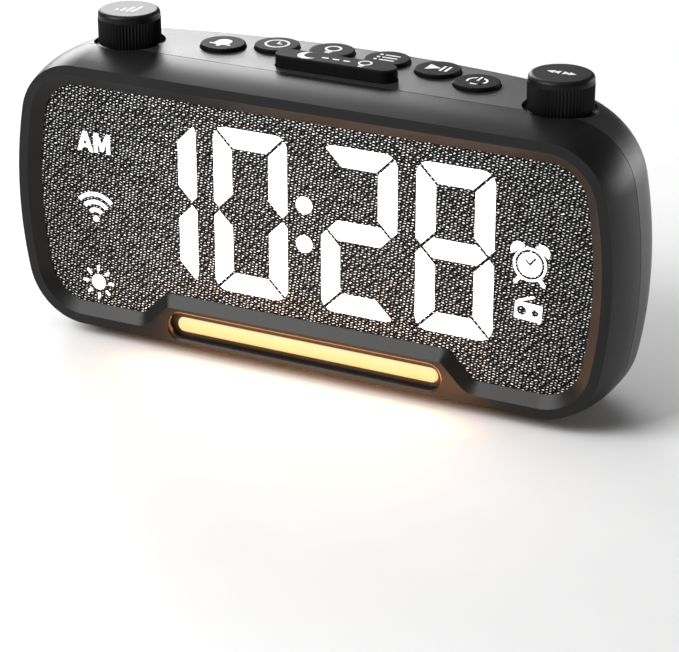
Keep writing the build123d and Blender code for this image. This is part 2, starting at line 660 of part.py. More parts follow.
def make_knob(x):
    foot, top = DECK_Z - 0.5, DECK_Z + KNOB_H
    rib_top = top - 2.4
    step = pi / KNOB_RIBS
    teeth = [(KNOB_R - (i % 2) * RIB_DEPTH, i * step) for i in range(2 * KNOB_RIBS)]
    star = make_face(Polyline([(r * cos(a), r * sin(a)) for r, a in teeth], close=True))
    crown = Pos(0, 0, rib_top) * extrude(Circle(KNOB_R - 0.1), amount=top - rib_top)
    crown = fillet(crown.faces().sort_by(Axis.Z)[-1].edges(), 1.3)
    knob = Pos(0, 0, foot) * extrude(star, amount=rib_top - foot) + crown
    knob -= Pos(0, 0, foot) * extrude(Circle(KNOB_R - 2.0), amount=top - 2.4 - foot)
    hub_foot = DECK_Z + 0.5
    knob += Pos(0, 0, hub_foot) * extrude(Circle(SHAFT_R + 1.6), amount=top - 2 - hub_foot)
    socket = d_shape(SHAFT_R, SHAFT_R - SHAFT_FLAT)
    knob -= Pos(0, 0, hub_foot) * extrude(socket, amount=SHAFT_TOP - hub_foot)
    return Pos(x, KNOB_Y, 0) * knob


# ---------------------------------------------------------------- inside the back

BOARD_LOW = -(OPENING_H / 2) - 0.6
BOARD_HIGH = 20.0


def make_main_board():
    left, right = MAIN_POSTS[0][0] - 4, MAIN_POSTS[2][0] + 4
    face = Pos((left + right) / 2, (BOARD_LOW + BOARD_HIGH) / 2) * RectangleRounded(
        right - left, BOARD_HIGH - BOARD_LOW, 2.0)
    for x, z in MAIN_POSTS:
        face -= Pos(x, z) * Circle(SMALL_SCREW_R + 0.2)
    return slab(face, MAIN_Y - PCB_T, MAIN_Y)


def back_screw(x, z, seat_y, grip):
    """Pan-head screw driven backwards through a part of thickness grip."""
    head = rod(x, z, SMALL_HEAD_R, seat_y - SMALL_HEAD_T, seat_y)
    head -= rod(x, z, 0.8, seat_y - SMALL_HEAD_T, seat_y - SMALL_HEAD_T + 0.5)
    return head + rod(x, z, SMALL_SCREW_R, seat_y, seat_y + grip + BACK_SCREW_L - 0.3)


def make_socket(x, width, height, tongue_t, tongue_side):
    """Metal shell open to the back, with its tongue; it stands on the main board."""
    mouth_y = min(back_y(x), back_y(x + width / 2), back_y(x - width / 2)) - 0.3
    wall = 0.4
    shell = slab(socket_face(x, width, height, 0), MAIN_Y, mouth_y)
    shell -= slab(socket_face(x, width, height, -wall), MAIN_Y + 2, mouth_y)
    tongue = Pos(x, -SOCKET_DROP + tongue_side) * Rectangle(width - 2 * wall - 1.6, tongue_t)
    return shell + slab(tongue, MAIN_Y + 1, mouth_y - 0.8)


HOLDER_DEPTH = 4.2
CELL_Y = MAIN_Y + 1.0


def make_battery_holder():
    outer = rod(BATTERY_X, -BATTERY_DROP, CELL_R + 1.6, MAIN_Y, MAIN_Y + HOLDER_DEPTH)
    outer -= rod(BATTERY_X, -BATTERY_DROP, CELL_R + 0.15, CELL_Y - 0.3, MAIN_Y + HOLDER_DEPTH)
    notch = Pos(BATTERY_X, -BATTERY_DROP - CELL_R) * Rectangle(6.0, 6.0)
    outer -= slab(notch, CELL_Y - 0.3, MAIN_Y + HOLDER_DEPTH)
    clip_slot = Pos(BATTERY_X - CELL_R - 0.5, -BATTERY_DROP) * Rectangle(4.0, 4.6)
    return outer - slab(clip_slot, MAIN_Y, MAIN_Y + HOLDER_DEPTH)


def make_cell():
    return rod(BATTERY_X, -BATTERY_DROP, CELL_R, CELL_Y, CELL_Y + CELL_T)


def battery_contacts():
    leaf = rod(BATTERY_X, -BATTERY_DROP, 4.0, CELL_Y - 0.3, CELL_Y)
    x = BATTERY_X - CELL_R - 0.3
    rise = slab(Pos(x, -BATTERY_DROP) * Rectangle(0.4, 4.0), MAIN_Y, CELL_Y + CELL_T + 0.4)
    over = slab(Pos(x + 1.7, -BATTERY_DROP) * Rectangle(3.8, 4.0), CELL_Y + CELL_T, CELL_Y + CELL_T + 0.4)
    return leaf, rise + over


def make_door():
    door = back_skin(door_face(0), DOOR_T)
    door -= rod(BATTERY_X, DOOR_SCREW_Z, 1.2, 0, BACK_Y + 1)
    head_y = back_y(BATTERY_X) - 1.1
    return door - rod(BATTERY_X, DOOR_SCREW_Z, 2.2, head_y, BACK_Y + 1)


def make_door_screw():
    head_y = back_y(BATTERY_X) - 1.1
    head = rod(BATTERY_X, DOOR_SCREW_Z, 2.0, head_y, head_y + 0.8)
    head -= slab(Pos(BATTERY_X, DOOR_SCREW_Z) * (Rectangle(2.6, 0.6) + Rectangle(0.6, 2.6)),
                 head_y + 0.3, head_y + 0.8)
    return head + rod(BATTERY_X, DOOR_SCREW_Z, 1.1, head_y - 3.6, head_y)


def arc_ribbon(x, start, middle, end, width, thickness, low_side):
    """Flat cable bent on one arc; places are (depth, height from the face's middle)."""
    side = Plane(origin=(x, 0, FACE_Z), x_dir=(0, 1, 0), z_dir=(1, 0, 0))
    dy, dz = low_side[0] * thickness, low_side[1] * thickness
    shifted = [(y + dy, z + dz) for y, z in (start, middle, end)]
    face = make_face([
        ThreePointArc(start, middle, end), Line(end, shifted[2]),
        ThreePointArc(shifted[2], shifted[1], shifted[0]), Line(shifted[0], start)])
    return extrude(side * face, amount=width / 2, both=True)


# ---------------------------------------------------------------- speaker, s is depth in front of its mount


def turned(points):
    """Ring or disc from an outline of (radius, depth in front of the mount)."""
    axis = Plane(origin=(SPEAKER_X, MOUNT_Y, FACE_Z), x_dir=(1, 0, 0), z_dir=(0, 0, 1))
    face = axis * make_face(Polyline([(r, -s) for r, s in points], close=True))
    return revolve(face, Axis((SPEAKER_X, MOUNT_Y, FACE_Z), BACKWARDS))


def make_speaker_frame():
    flange = Pos(SPEAKER_X, 0) * (RectangleRounded(SPEAKER_SIDE, SPEAKER_SIDE, 4.0) - Circle(FRAME_HOLE_R))
    for dx in both_sides(SPEAKER_CORNER):
        for dz in both_sides(SPEAKER_CORNER):
            flange -= Pos(SPEAKER_X + dx, dz) * Circle(SMALL_SCREW_R + 0.2)
    rim = FRAME_HOLE_R + 1.0
    basket = turned([(FRAME_HOLE_R, 0), (rim, 0), (rim, 3), (11.2, 8), (11.2, 9), (7.0, 9), (7.0, 8.2),
                     (10.4, 8.2), (10.4, 7.6), (FRAME_HOLE_R, 2.6)])
    return slab(flange, MOUNT_Y - 1.0, MOUNT_Y) + basket


def make_speaker_magnet():
    cup = turned([(0, 14.5), (11.0, 14.5), (11.0, 9), (6.2, 9), (6.2, 13), (4.2, 13), (4.2, 8.6), (0, 8.6)])
    return cup


def make_gasket():
    ring = Circle(SPEAKER_SIDE / 2 - 0.4) - Circle(FRAME_HOLE_R + 0.4)
    return slab(Pos(SPEAKER_X, 0) * ring, MOUNT_Y, MOUNT_Y + GASKET_T)


def make_cone():
    return turned([(CONE_R, 1.4), (CONE_R, 1.8), (5.5, 6.6), (4.9, 6.6), (4.9, 6.2), (5.3, 6.2)])


def make_voice_coil():
    return turned([(4.9, 6.6), (4.9, 11.5), (5.5, 11.5), (5.5, 6.6)])


def make_dust_cap():
    return turned([(0, 4.6), (3.2, 5.2), (5.3, 6.2), (4.9, 6.2), (3.0, 5.5), (0, 4.9)])


def make_surround():
    return turned([(CONE_R, 1.4), (CONE_R + 0.7, 0.6), (FRAME_HOLE_R - 0.7, 0.6), (FRAME_HOLE_R, 1.4),
                   (FRAME_HOLE_R, 1.7), (FRAME_HOLE_R - 0.8, 0.9), (CONE_R + 0.8, 0.9), (CONE_R, 1.7)])


# ---------------------------------------------------------------- feet and case screws


def make_foot(x, y):
    foot = post(x, y, FOOT_D / 2, 0, FOOT_H + FOOT_SET)
    return fillet(foot.faces().sort_by(Axis.Z)[0].edges(), 0.4)


def case_screw(x, z):
    head = rod(x, z, CASE_HEAD_R, CASE_LEDGE_Y, CASE_LEDGE_Y + 1.8)
    head -= slab(Pos(x, z) * (Rectangle(3.0, 0.7) + Rectangle(0.7, 3.0)),
                 CASE_LEDGE_Y + 0.8, CASE_LEDGE_Y + 1.8)
    return head + rod(x, z, CASE_SCREW_R, CASE_JOIN_Y - 8, CASE_LEDGE_Y)


# ---------------------------------------------------------------- every node

save("front_bezel", make_front_bezel())
save("main_housing", make_main_housing())
save("grille_cloth", make_grille_cloth())
save("grille_plate", make_grille_plate())
save("segment_diffusers", *[slab(face, PLATE_Y, INNER_FRONT_Y + DIFFUSER_T) for face in WINDOWS])
save("display_reflector", make_reflector())
save("display_board", make_display_board())
save("display_leds", *display_leds())
save("display_screws", *[small_screw(side * EAR_X, z, BOARD_Y + PCB_T, PCB_T + DISPLAY_SCREW_L)
                         for side in (-1, 1) for z in both_sides(LEDGE_Z)])
save("light_bar_lens", make_light_lens())
save("light_bar_board", make_light_board())
save("light_bar_leds", *light_leds())

save("control_board", make_control_board())
save("control_screws", *[control_screw(x, y) for x, y in CONTROL_POSTS])
save("tact_switches", *[make_switch(x, y) for x, y in SWITCH_PLACES.values()])
for name, (x, y) in BUTTON_PLACES.items():
    save(f"{name}_button", make_button(x, y))
save("snooze_bar", make_snooze_bar())
for name, (x, y) in SWITCH_PLACES.items():
    save(f"{name}_plunger", make_plunger(x, y))
for side, x in (("left", -KNOB_X), ("right", KNOB_X)):
    save(f"{side}_encoder", make_encoder(x))
    save(f"{side}_encoder_rotor", make_rotor(x))
    save(f"{side}_shaft", make_shaft(x))
    save(f"{side}_knob", make_knob(x))

save("main_board", make_main_board())
save("main_board_screws", *[back_screw(x, z, MAIN_Y - PCB_T, PCB_T) for x, z in MAIN_POSTS])
save("radio_chip", slab(Pos(50, -2) * RectangleRounded(10, 10, 0.4), MAIN_Y - PCB_T - 1.3, MAIN_Y - PCB_T))
save("capacitors", *[rod(x, 10, 2.5, MAIN_Y - PCB_T - 7, MAIN_Y - PCB_T) for x in (44, 51, 58)])
save("usb_power_socket", make_socket(POWER_X, POWER_W, POWER_H, 0.7, 0))
save("usb_charge_socket", make_socket(CHARGE_X, CHARGE_W, CHARGE_H, 1.8, 1.3))
save("battery_holder", make_battery_holder())
save("backup_cell", make_cell())
save("battery_contacts", *battery_contacts())
save("battery_door", make_door())
save("battery_door_screw", make_door_screw())
save("display_ribbon", arc_ribbon(4, (BOARD_Y + PCB_T, -10), (0, -14), (MAIN_Y - PCB_T, -10),
                                  14, 0.4, (0, -1)))
save("control_ribbon", arc_ribbon(28, (2, CONTROL_Z - PCB_T - FACE_Z), (4.5, 22), (MAIN_Y - PCB_T, 15),
                                  14, 0.4, (-0.7, -0.7)))

save("speaker_frame", make_speaker_frame())
save("speaker_magnet", make_speaker_magnet())
save("speaker_gasket", make_gasket())
save("speaker_cone", make_cone())
save("voice_coil", make_voice_coil())
save("dust_cap", make_dust_cap())
save("speaker_surround", make_surround())
save("speaker_screws", *[back_screw(SPEAKER_X + dx, dz, MOUNT_Y - 1.0, 1.0)
                         for dx in both_sides(SPEAKER_CORNER) for dz in both_sides(SPEAKER_CORNER)])

save("feet", *[make_foot(x, y) for x in both_sides(FOOT_X) for y in (FRONT_FOOT_Y, REAR_FOOT_Y)])
save("case_screws", *[case_screw(x, z) for x in both_sides(CASE_SCREW_X) for z in both_sides(CASE_SCREW_Z)])
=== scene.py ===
# %% [markdown]
# # A bedside clock radio
# The design of this clock radio is already finished: every shell, knob, key, board and screw
# stands in one shared frame, with its joints. What is left is the work of a finisher. Each
# surface gets the look of its real material, the speaker cloth is stretched over the face, the
# figures and signs are lit, and the printed marks go on the keys and the knobs. The frame comes
# in first, and its box is noted before anything else is added.

# %% Load the frame
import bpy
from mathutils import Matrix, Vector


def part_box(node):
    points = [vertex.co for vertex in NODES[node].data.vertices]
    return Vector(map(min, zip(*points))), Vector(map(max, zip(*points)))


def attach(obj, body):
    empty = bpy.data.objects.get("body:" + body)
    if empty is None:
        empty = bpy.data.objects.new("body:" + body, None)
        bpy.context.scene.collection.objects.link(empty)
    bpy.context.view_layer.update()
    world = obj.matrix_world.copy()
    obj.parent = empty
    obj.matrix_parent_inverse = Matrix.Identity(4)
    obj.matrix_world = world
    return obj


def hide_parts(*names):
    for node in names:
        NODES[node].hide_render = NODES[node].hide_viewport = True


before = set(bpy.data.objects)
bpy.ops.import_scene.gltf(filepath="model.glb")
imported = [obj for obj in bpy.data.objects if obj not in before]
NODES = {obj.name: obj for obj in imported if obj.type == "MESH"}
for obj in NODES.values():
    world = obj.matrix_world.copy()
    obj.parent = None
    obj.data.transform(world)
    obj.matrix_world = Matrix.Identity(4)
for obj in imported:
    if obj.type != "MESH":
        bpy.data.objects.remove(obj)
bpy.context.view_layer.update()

from math import cos, pi, radians, sin

import bpy
from mathutils import Vector

MM = 0.001

# %% [markdown]
# ## Where things are
# Every place below is read from the frame, so a finish or a printed mark lands exactly on its
# part. The face of the cloth, the front of the bezel and the light bar's lens are used again and
# again, so they get names here.

# %% Places read from the frame
cloth_low, cloth_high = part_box("grille_cloth")
lens_low, lens_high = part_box("light_bar_lens")
bezel_low, bezel_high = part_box("front_bezel")
CLOTH_FRONT = cloth_low.y
FACE_MIDDLE_Z = (cloth_low.z + cloth_high.z) / 2
print("cloth front at", round(CLOTH_FRONT / MM, 2), "mm,",
      "top of the bezel at", round(bezel_high.z / MM, 2), "mm")

# %% [markdown]
# ## The camera
# The clock is seen from the front right and a little above, through a long lens, the way small
# products are usually shown: a long lens keeps the uprights nearly parallel. The camera comes
# first because every later choice of size of grain or depth of relief depends on how close it is.

# %% Camera
CAMERA_PLACE = (0.3145, -0.62335, 0.3111)
CAMERA_TILT = 66.53
CAMERA_SWING = 26.77
FOCAL_LENGTH = 134.5

bpy.ops.object.camera_add(
    location=CAMERA_PLACE, rotation=(radians(CAMERA_TILT), 0, radians(CAMERA_SWING)))
camera = bpy.context.object
camera.name = "camera"
camera.data.lens = FOCAL_LENGTH
camera.data.sensor_width = 36
camera.data.clip_start = 0.01
bpy.context.scene.camera = camera
print("camera at", round(camera.location.length, 2), "m from the middle of the clock")

# %% [markdown]
# ## Floor
# A pale sheet of paper carries the clock. It is one plane, wide enough that its edge stays out of
# sight. It belongs to the studio and not to the clock.

# %% Floor
FLOOR_SIZE = 6.0

bpy.ops.object.select_all(action="DESELECT")
bpy.ops.mesh.primitive_plane_add(size=FLOOR_SIZE)
floor = bpy.context.object
floor.name = "floor_paper"
print("floor", FLOOR_SIZE, "m across")

# %% [markdown]
# ## Panels of light
# Black plastic shows only what it reflects, so the lights are large white panels. The key stands
# at the front left and brings out the cloth and the slopes that face up. A wide panel hangs
# overhead, a little to the left. One behind the left end gives the long pale sheen on the deck,
# and one low behind the right end gives the bright side of the housing.

# %% Panels of light
def light_panel(name, place, size, watts, aim=(0, 0, 0.05), colour=(1, 1, 1)):
    """A rectangular softbox that faces the point aim."""
    bpy.ops.object.light_add(type="AREA", location=place)
    panel = bpy.context.object
    panel.name = name
    panel.data.shape = "RECTANGLE"
    panel.data.size, panel.data.size_y = size
    panel.data.energy = watts
    panel.data.color = colour
    panel.rotation_euler = (Vector(aim) - Vector(place)).to_track_quat("-Z", "Y").to_euler()
    panel.visible_camera = False
    return panel


light_panel("key_panel", place=(-0.75, -1.0, 1.05), size=(0.9, 0.9), watts=27)
light_panel("overhead_panel", place=(-0.35, 0.0, 1.3), size=(1.2, 1.4), watts=6.8)
light_panel("left_rear_panel", place=(-0.85, 0.95, 0.5), size=(0.7, 0.6), watts=11.5)
light_panel("right_rear_panel", place=(0.66, 0.95, 0.12), size=(0.7, 0.4), watts=4.5)

# %% [markdown]
# ## The room
# A dim white room fills the shadows a little. The colours are shown as they are, with no film
# curve, so that white paper stays white.

# %% Room and colours
ROOM_LIGHT = 0.08

world = bpy.data.worlds.new("studio")
bpy.context.scene.world = world
world.use_nodes = True
room = world.node_tree.nodes["Background"]
room.inputs["Color"].default_value = (1, 1, 1, 1)
room.inputs["Strength"].default_value = ROOM_LIGHT
bpy.context.scene.view_settings.view_transform = "Standard"
print("room light", ROOM_LIGHT)

# %% [markdown]
# ## Helpers for finishes
# A finish is a small tree of nodes. Most trees here are the same few steps: take the piece's own
# coordinates, make a pattern from them, and send the pattern to colour, roughness and bump. One
# function that adds a node and wires its inputs keeps each finish short enough to read.

# %% Starting a finish and adding its nodes
def new_finish(name, roughness=0.5, metallic=0.0, **shader_values):
    """A new material. Gives the material, its node tree, its shader and the piece's coordinates."""
    finish = bpy.data.materials.new(name)
    finish.use_nodes = True
    tree = finish.node_tree
    shader = tree.nodes["Principled BSDF"]
    shader.inputs["Roughness"].default_value = roughness
    shader.inputs["Metallic"].default_value = metallic
    for socket, value in shader_values.items():
        shader.inputs[socket.replace("_", " ")].default_value = value
    return finish, tree, shader, tree.nodes.new("ShaderNodeTexCoord").outputs["Object"]


def add(tree, kind, inputs, out=0, **settings):
    """Add a node, set or wire its inputs, and give one of its outputs."""
    node = tree.nodes.new("ShaderNode" + kind)
    for name, value in settings.items():
        setattr(node, name, value)
    for socket, value in inputs.items():
        if isinstance(value, bpy.types.NodeSocket):
            tree.links.new(value, node.inputs[socket])
        else:
            node.inputs[socket].default_value = value
    return node.outputs[out]

# %% [markdown]
# Four steps come back in nearly every finish: turning a pattern into colours, mapping it to a
# range such as a roughness, making a soft random pattern of a chosen size, and sending a pattern
# to the bump. Each gets a function. A pattern's size is given in metres, as it would be measured.

# %% Colours, patterns and relief
def ramp(tree, value, *stops):
    """A colour ramp over value. Each stop is (position, colour)."""
    node = tree.nodes.new("ShaderNodeValToRGB")
    tree.links.new(value, node.inputs[0])
    elements = node.color_ramp.elements
    while len(elements) < len(stops):
        elements.new(0.5)
    for element, (position, colour) in zip(elements, stops):
        element.position = position
        element.color = (*colour, 1)
    return node.outputs[0]


def spread(tree, value, low, high):
    """Map a pattern from 0..1 to low..high, as for roughness."""
    return add(tree, "MapRange", {"Value": value, "To Min": low, "To Max": high})


def noise(tree, place, size, detail=2.0):
    """Soft random pattern whose features are about size across."""
    return add(tree, "TexNoise", {"Vector": place, "Scale": 1 / size, "Detail": detail})


def relief(tree, shader, height, depth, strength=1.0):
    """Send a height pattern to the shader as bump of the given depth."""
    bump = add(tree, "Bump", {"Height": height, "Distance": depth, "Strength": strength})
    tree.links.new(bump, shader.inputs["Normal"])


def grey(level):
    """A neutral colour."""
    return (level, level, level)

# %% [markdown]
# ## Moulded plastics
# The case is moulded in two shades of the same black plastic. The tool's surface was eroded by
# sparks, which leaves a fine even grain that softens every reflection. The bezel's grain is
# finer, so it looks sleeker than the housing. Handling polishes the grain a little in patches,
# so roughness drifts slowly over the surface as well.

# %% Case, key and knob plastics
HANDLED_PATCH = 18 * MM
GRAIN_SHARE = 0.65
ROUGHNESS_SWING = 0.08


def moulded_plastic(name, level, roughness, grain, depth, gloss):
    """Black plastic with an eroded grain, grain metres across and depth metres deep."""
    finish, tree, shader, place = new_finish(name, roughness, Specular_IOR_Level=gloss)
    fine = noise(tree, place, grain, 3.0)
    drift = noise(tree, place, HANDLED_PATCH, 2.0)
    colour = ramp(tree, drift, (0.3, grey(0.82 * level)), (0.7, grey(1.18 * level)))
    tree.links.new(colour, shader.inputs["Base Color"])
    handled = add(tree, "Math", {0: drift, 1: 1 - GRAIN_SHARE}, operation="MULTIPLY")
    mixed = add(tree, "Math", {0: fine, 1: GRAIN_SHARE, 2: handled}, operation="MULTIPLY_ADD")
    polish = spread(tree, mixed, roughness - ROUGHNESS_SWING, roughness + ROUGHNESS_SWING)
    tree.links.new(polish, shader.inputs["Roughness"])
    relief(tree, shader, fine, depth)
    return finish


# For each: grey level, roughness, width and depth of the grain in millimetres, and gloss.
MOULDED = {
    "bezel_plastic": (0.009, 0.36, 0.22, 0.008, 0.20),
    "housing_plastic": (0.018, 0.42, 0.45, 0.070, 0.60),
    "control_plastic": (0.006, 0.56, 0.25, 0.012, 0.06),
    "knob_plastic": (0.006, 0.42, 0.25, 0.012, 0.18),
    "mask_plastic": (0.010, 0.55, 0.35, 0.010, 0.25),
    "switch_plastic": (0.020, 0.50, 0.30, 0.010, 0.25),
    "chip_black": (0.022, 0.62, 0.20, 0.015, 0.25),
}
FINISHES = {}
for name, (level, roughness, grain, depth, gloss) in MOULDED.items():
    FINISHES[name] = moulded_plastic(name, level, roughness, grain * MM, depth * MM, gloss)
print("moulded plastics:", len(FINISHES))

# %% [markdown]
# ## White plastics and rubber
# Behind the cloth sit a white reflector and milky diffusers, and the keys press on white
# plungers. Milky plastic lets light in below its skin, so it gets a little subsurface. The feet
# and the speaker's gasket are foam rubber with open pores, which a cell pattern draws well.

# %% White plastics, foam and paper
def milky_plastic(name, colour, depth):
    """White moulded plastic that light sinks into a little."""
    finish, tree, shader, place = new_finish(
        name, 0.45, Subsurface_Weight=depth, Subsurface_Scale=1 * MM)
    mottle = noise(tree, place, 2.5 * MM, 3.0)
    shade = [0.9 * part for part in colour]
    tree.links.new(ramp(tree, mottle, (0.35, shade), (0.65, colour)), shader.inputs["Base Color"])
    relief(tree, shader, noise(tree, place, 0.4 * MM), 0.01 * MM)
    return finish


def foam_rubber():
    """Dark rubber foam with small open pores."""
    finish, tree, shader, place = new_finish("foam_rubber", 0.85)
    pores = add(tree, "TexVoronoi", {"Vector": place, "Scale": 1 / (0.45 * MM)})
    colour = ramp(tree, pores, (0.05, grey(0.008)), (0.5, grey(0.03)))
    tree.links.new(colour, shader.inputs["Base Color"])
    relief(tree, shader, pores, 0.12 * MM)
    return finish


def paper_cone():
    """Pressed paper pulp, with fibres of mixed length lying every way."""
    finish, tree, shader, place = new_finish("paper_cone", 0.9)
    fibres = add(tree, "TexNoise", {"Vector": place, "Scale": 1800.0, "Detail": 6.0,
                                    "Distortion": 2.5})
    colour = ramp(tree, fibres, (0.35, (0.012, 0.012, 0.013)), (0.7, (0.05, 0.048, 0.045)))
    tree.links.new(colour, shader.inputs["Base Color"])
    relief(tree, shader, fibres, 0.08 * MM)
    return finish


FINISHES["white_plastic"] = milky_plastic("white_plastic", (0.80, 0.80, 0.78), 0.05)
FINISHES["diffuser_plastic"] = milky_plastic("diffuser_plastic", (0.86, 0.87, 0.90), 0.25)
FINISHES["foam_rubber"] = foam_rubber()
FINISHES["paper_cone"] = paper_cone()
print("finishes so far:", len(FINISHES))

# %% [markdown]
# ## Metals
# Stamped steel shows faint rolling lines, a screw's head has fine turning marks and a dark
# coating, and brass is warmer and a little tarnished. The lines come from a noise that is
# stretched along one direction by a Mapping node.

# %% Metals
def worked_metal(name, colour, roughness, line_size, stretch=(1, 12, 1), tarnish=0.75):
    """Metal with faint lines from rolling or turning, and darker patches where it has tarnished."""
    finish, tree, shader, place = new_finish(name, roughness, 1.0)
    drawn_out = add(tree, "Mapping", {"Vector": place, "Scale": stretch})
    lines = noise(tree, drawn_out, line_size, 3.0)
    patches = noise(tree, place, 3 * MM, 4.0)
    dull = [tarnish * part for part in colour]
    tree.links.new(ramp(tree, patches, (0.35, dull), (0.6, colour)), shader.inputs["Base Color"])
    polish = spread(tree, lines, roughness - 0.07, roughness + 0.12)
    tree.links.new(polish, shader.inputs["Roughness"])
    relief(tree, shader, lines, 0.01 * MM)
    return finish


FINISHES["plated_steel"] = worked_metal("plated_steel", (0.62, 0.63, 0.65), 0.28, 1.2 * MM)
FINISHES["screw_steel"] = worked_metal(
    "screw_steel", (0.10, 0.10, 0.11), 0.38, 0.5 * MM, stretch=(6, 6, 1))
FINISHES["brass_alloy"] = worked_metal("brass_alloy", (0.72, 0.52, 0.22), 0.30, 0.8 * MM)
FINISHES["magnet_iron"] = worked_metal(
    "magnet_iron", (0.30, 0.30, 0.31), 0.45, 1.5 * MM, tarnish=0.6)
print("finishes so far:", len(FINISHES))

# %% [markdown]
# ## Boards, lamps and ribbon
# A circuit board is green lacquer over copper tracks that show as slightly paler lines, here the
# edges of a square cell pattern. The light bar's board is the same thing in white. Each lamp
# package is pale with a yellow phosphor face, and the flat cable has a row of tinned
# conductors under a clear film.

# %% Boards, lamps and flat cable
TRACK_SPACING = 3.2 * MM


def lacquered_board(name, field, track):
    """Solder lacquer over copper tracks that run square to each other."""
    finish, tree, shader, place = new_finish(name, 0.35, Coat_Weight=0.4, Coat_Roughness=0.15)
    runs = add(tree, "TexVoronoi", {"Vector": place, "Scale": 1 / TRACK_SPACING},
               feature="F1", distance="CHEBYCHEV")
    colour = ramp(tree, runs, (0.40, field), (0.46, track), (0.52, track), (0.58, field))
    tree.links.new(colour, shader.inputs["Base Color"])
    relief(tree, shader, runs, 0.03 * MM, 0.4)
    return finish


def lamp_package():
    """A pale lamp body whose phosphor face is yellow in the middle."""
    finish, tree, shader, place = new_finish("led_package", 0.4)
    cells = noise(tree, place, 0.6 * MM, 2.0)
    colour = ramp(tree, cells, (0.35, (0.85, 0.78, 0.45)), (0.65, (0.88, 0.87, 0.80)))
    tree.links.new(colour, shader.inputs["Base Color"])
    relief(tree, shader, cells, 0.02 * MM)
    return finish


def flat_cable():
    """Tinned conductors side by side under a clear film."""
    finish, tree, shader, place = new_finish("ribbon_film", 0.3, Coat_Weight=0.6)
    strips = add(tree, "TexWave", {"Vector": place, "Scale": 160.0, "Distortion": 0.0},
                 wave_type="BANDS", bands_direction="X")
    colour = ramp(tree, strips, (0.35, (0.75, 0.74, 0.70)), (0.6, (0.35, 0.36, 0.38)))
    tree.links.new(colour, shader.inputs["Base Color"])
    relief(tree, shader, strips, 0.05 * MM)
    return finish


FINISHES["circuit_board"] = lacquered_board(
    "circuit_board", field=(0.010, 0.085, 0.035), track=(0.03, 0.16, 0.06))
FINISHES["white_board"] = lacquered_board(
    "white_board", field=(0.80, 0.80, 0.78), track=(0.68, 0.68, 0.64))
FINISHES["led_package"] = lamp_package()
FINISHES["ribbon_film"] = flat_cable()
print("finishes so far:", len(FINISHES))

# %% [markdown]
# ## The glowing lens
# The night light is a frosted rod with a row of warm lamps behind it. Frosting spreads the light,
# so the rod is an even yellow that only swells a little along its length. It is palest at its
# upper edge and a deeper amber at its lower one, where the light has gone further through the
# plastic.

# %% Lens of the light bar
LENS_MIDDLE_Z = (lens_low.z + lens_high.z) / 2
LENS_HALF = (lens_high.z - lens_low.z) / 2
SWELL_LENGTH = 17.4 * MM
BAND_LENGTH = 0.314  # how long one band of a wave texture is when its scale is one


def glowing_lens():
    """Frosted plastic, lit warm from behind."""
    finish, tree, shader, place = new_finish("lens_plastic", 0.35)
    up = add(tree, "SeparateXYZ", {"Vector": place}, out=2)
    height = add(tree, "MapRange", {"Value": up, "From Min": lens_low.z, "From Max": lens_high.z})
    swell = add(tree, "TexWave", {"Vector": place, "Scale": BAND_LENGTH / SWELL_LENGTH,
                                  "Distortion": 0.0},
                out=1, wave_type="BANDS", bands_direction="X")
    lifted = add(tree, "Math", {0: swell, 1: 0.06, 2: height}, operation="MULTIPLY_ADD")
    glow = ramp(tree, lifted, (0.0, (0.80, 0.46, 0.13)), (0.22, (0.90, 0.64, 0.24)),
                (0.60, (0.92, 0.72, 0.32)), (1.0, (0.96, 0.84, 0.50)))
    tree.links.new(glow, shader.inputs["Emission Color"])
    shader.inputs["Emission Strength"].default_value = 1.0
    frost = noise(tree, place, 0.5 * MM, 2.0)
    base = ramp(tree, frost, (0.3, (0.03, 0.02, 0.01)), (0.7, (0.06, 0.045, 0.02)))
    tree.links.new(base, shader.inputs["Base Color"])
    relief(tree, shader, frost, 0.01 * MM)
    return finish


FINISHES["lens_plastic"] = glowing_lens()
print("lens", round(2 * LENS_HALF / MM, 1), "mm high")

# %% [markdown]
# ## The speaker cloth's weave
# The cloth is a black and white melange. Two sets of threads cross at a shallow slant, one rising
# and one falling to the right, and a pale knot stands wherever two of them meet. A thread set is
# a count: how far a point lies across the threads, measured in threads. The cosine of that count
# peaks on every thread.

# %% Threads as waves
RISING_PITCH = 0.742 * MM
FALLING_PITCH = 0.820 * MM
THREAD_SLANT = radians(19.4)


def thread_count(tree, place, pitch, slant):
    """Distance across one set of threads, counted in threads."""
    across = Vector((sin(slant), 0, cos(slant))) / pitch
    return add(tree, "VectorMath", {0: place, 1: across}, out=1, operation="DOT_PRODUCT")


def row_wave(tree, count):
    """A wave that peaks at every whole count."""
    angle = add(tree, "Math", {0: count, 1: 2 * pi}, operation="MULTIPLY")
    return add(tree, "Math", {0: angle}, operation="COSINE")


print("threads every", round(RISING_PITCH / MM, 3), "and", round(FALLING_PITCH / MM, 3), "mm")

# %% [markdown]
# Three waves make the knots: one peaks on every rising thread, one on every falling thread and a
# weak third where both do, so their sum has one round peak for each knot. Each knot has its own
# random paleness, every third row is paler, and a soft noise loosens the rows. The knots also get
# a painted glow, an emission in their own colour that stands in for light on the cloth, full in
# the middle and weaker towards the two ends.

# %% Cloth finish
WANDER_SIZE = 2.0 * MM
LOOSENESS = 1.2 * MM
SPECK_SIZE = 0.4 * MM
# Where the knots' painted glow is full, where it has fallen to its least, and how strong it is.
PAINTED_GLOW_INNER = 46 * MM
PAINTED_GLOW_OUTER = 76 * MM
PAINTED_GLOW_STRENGTH = 0.80


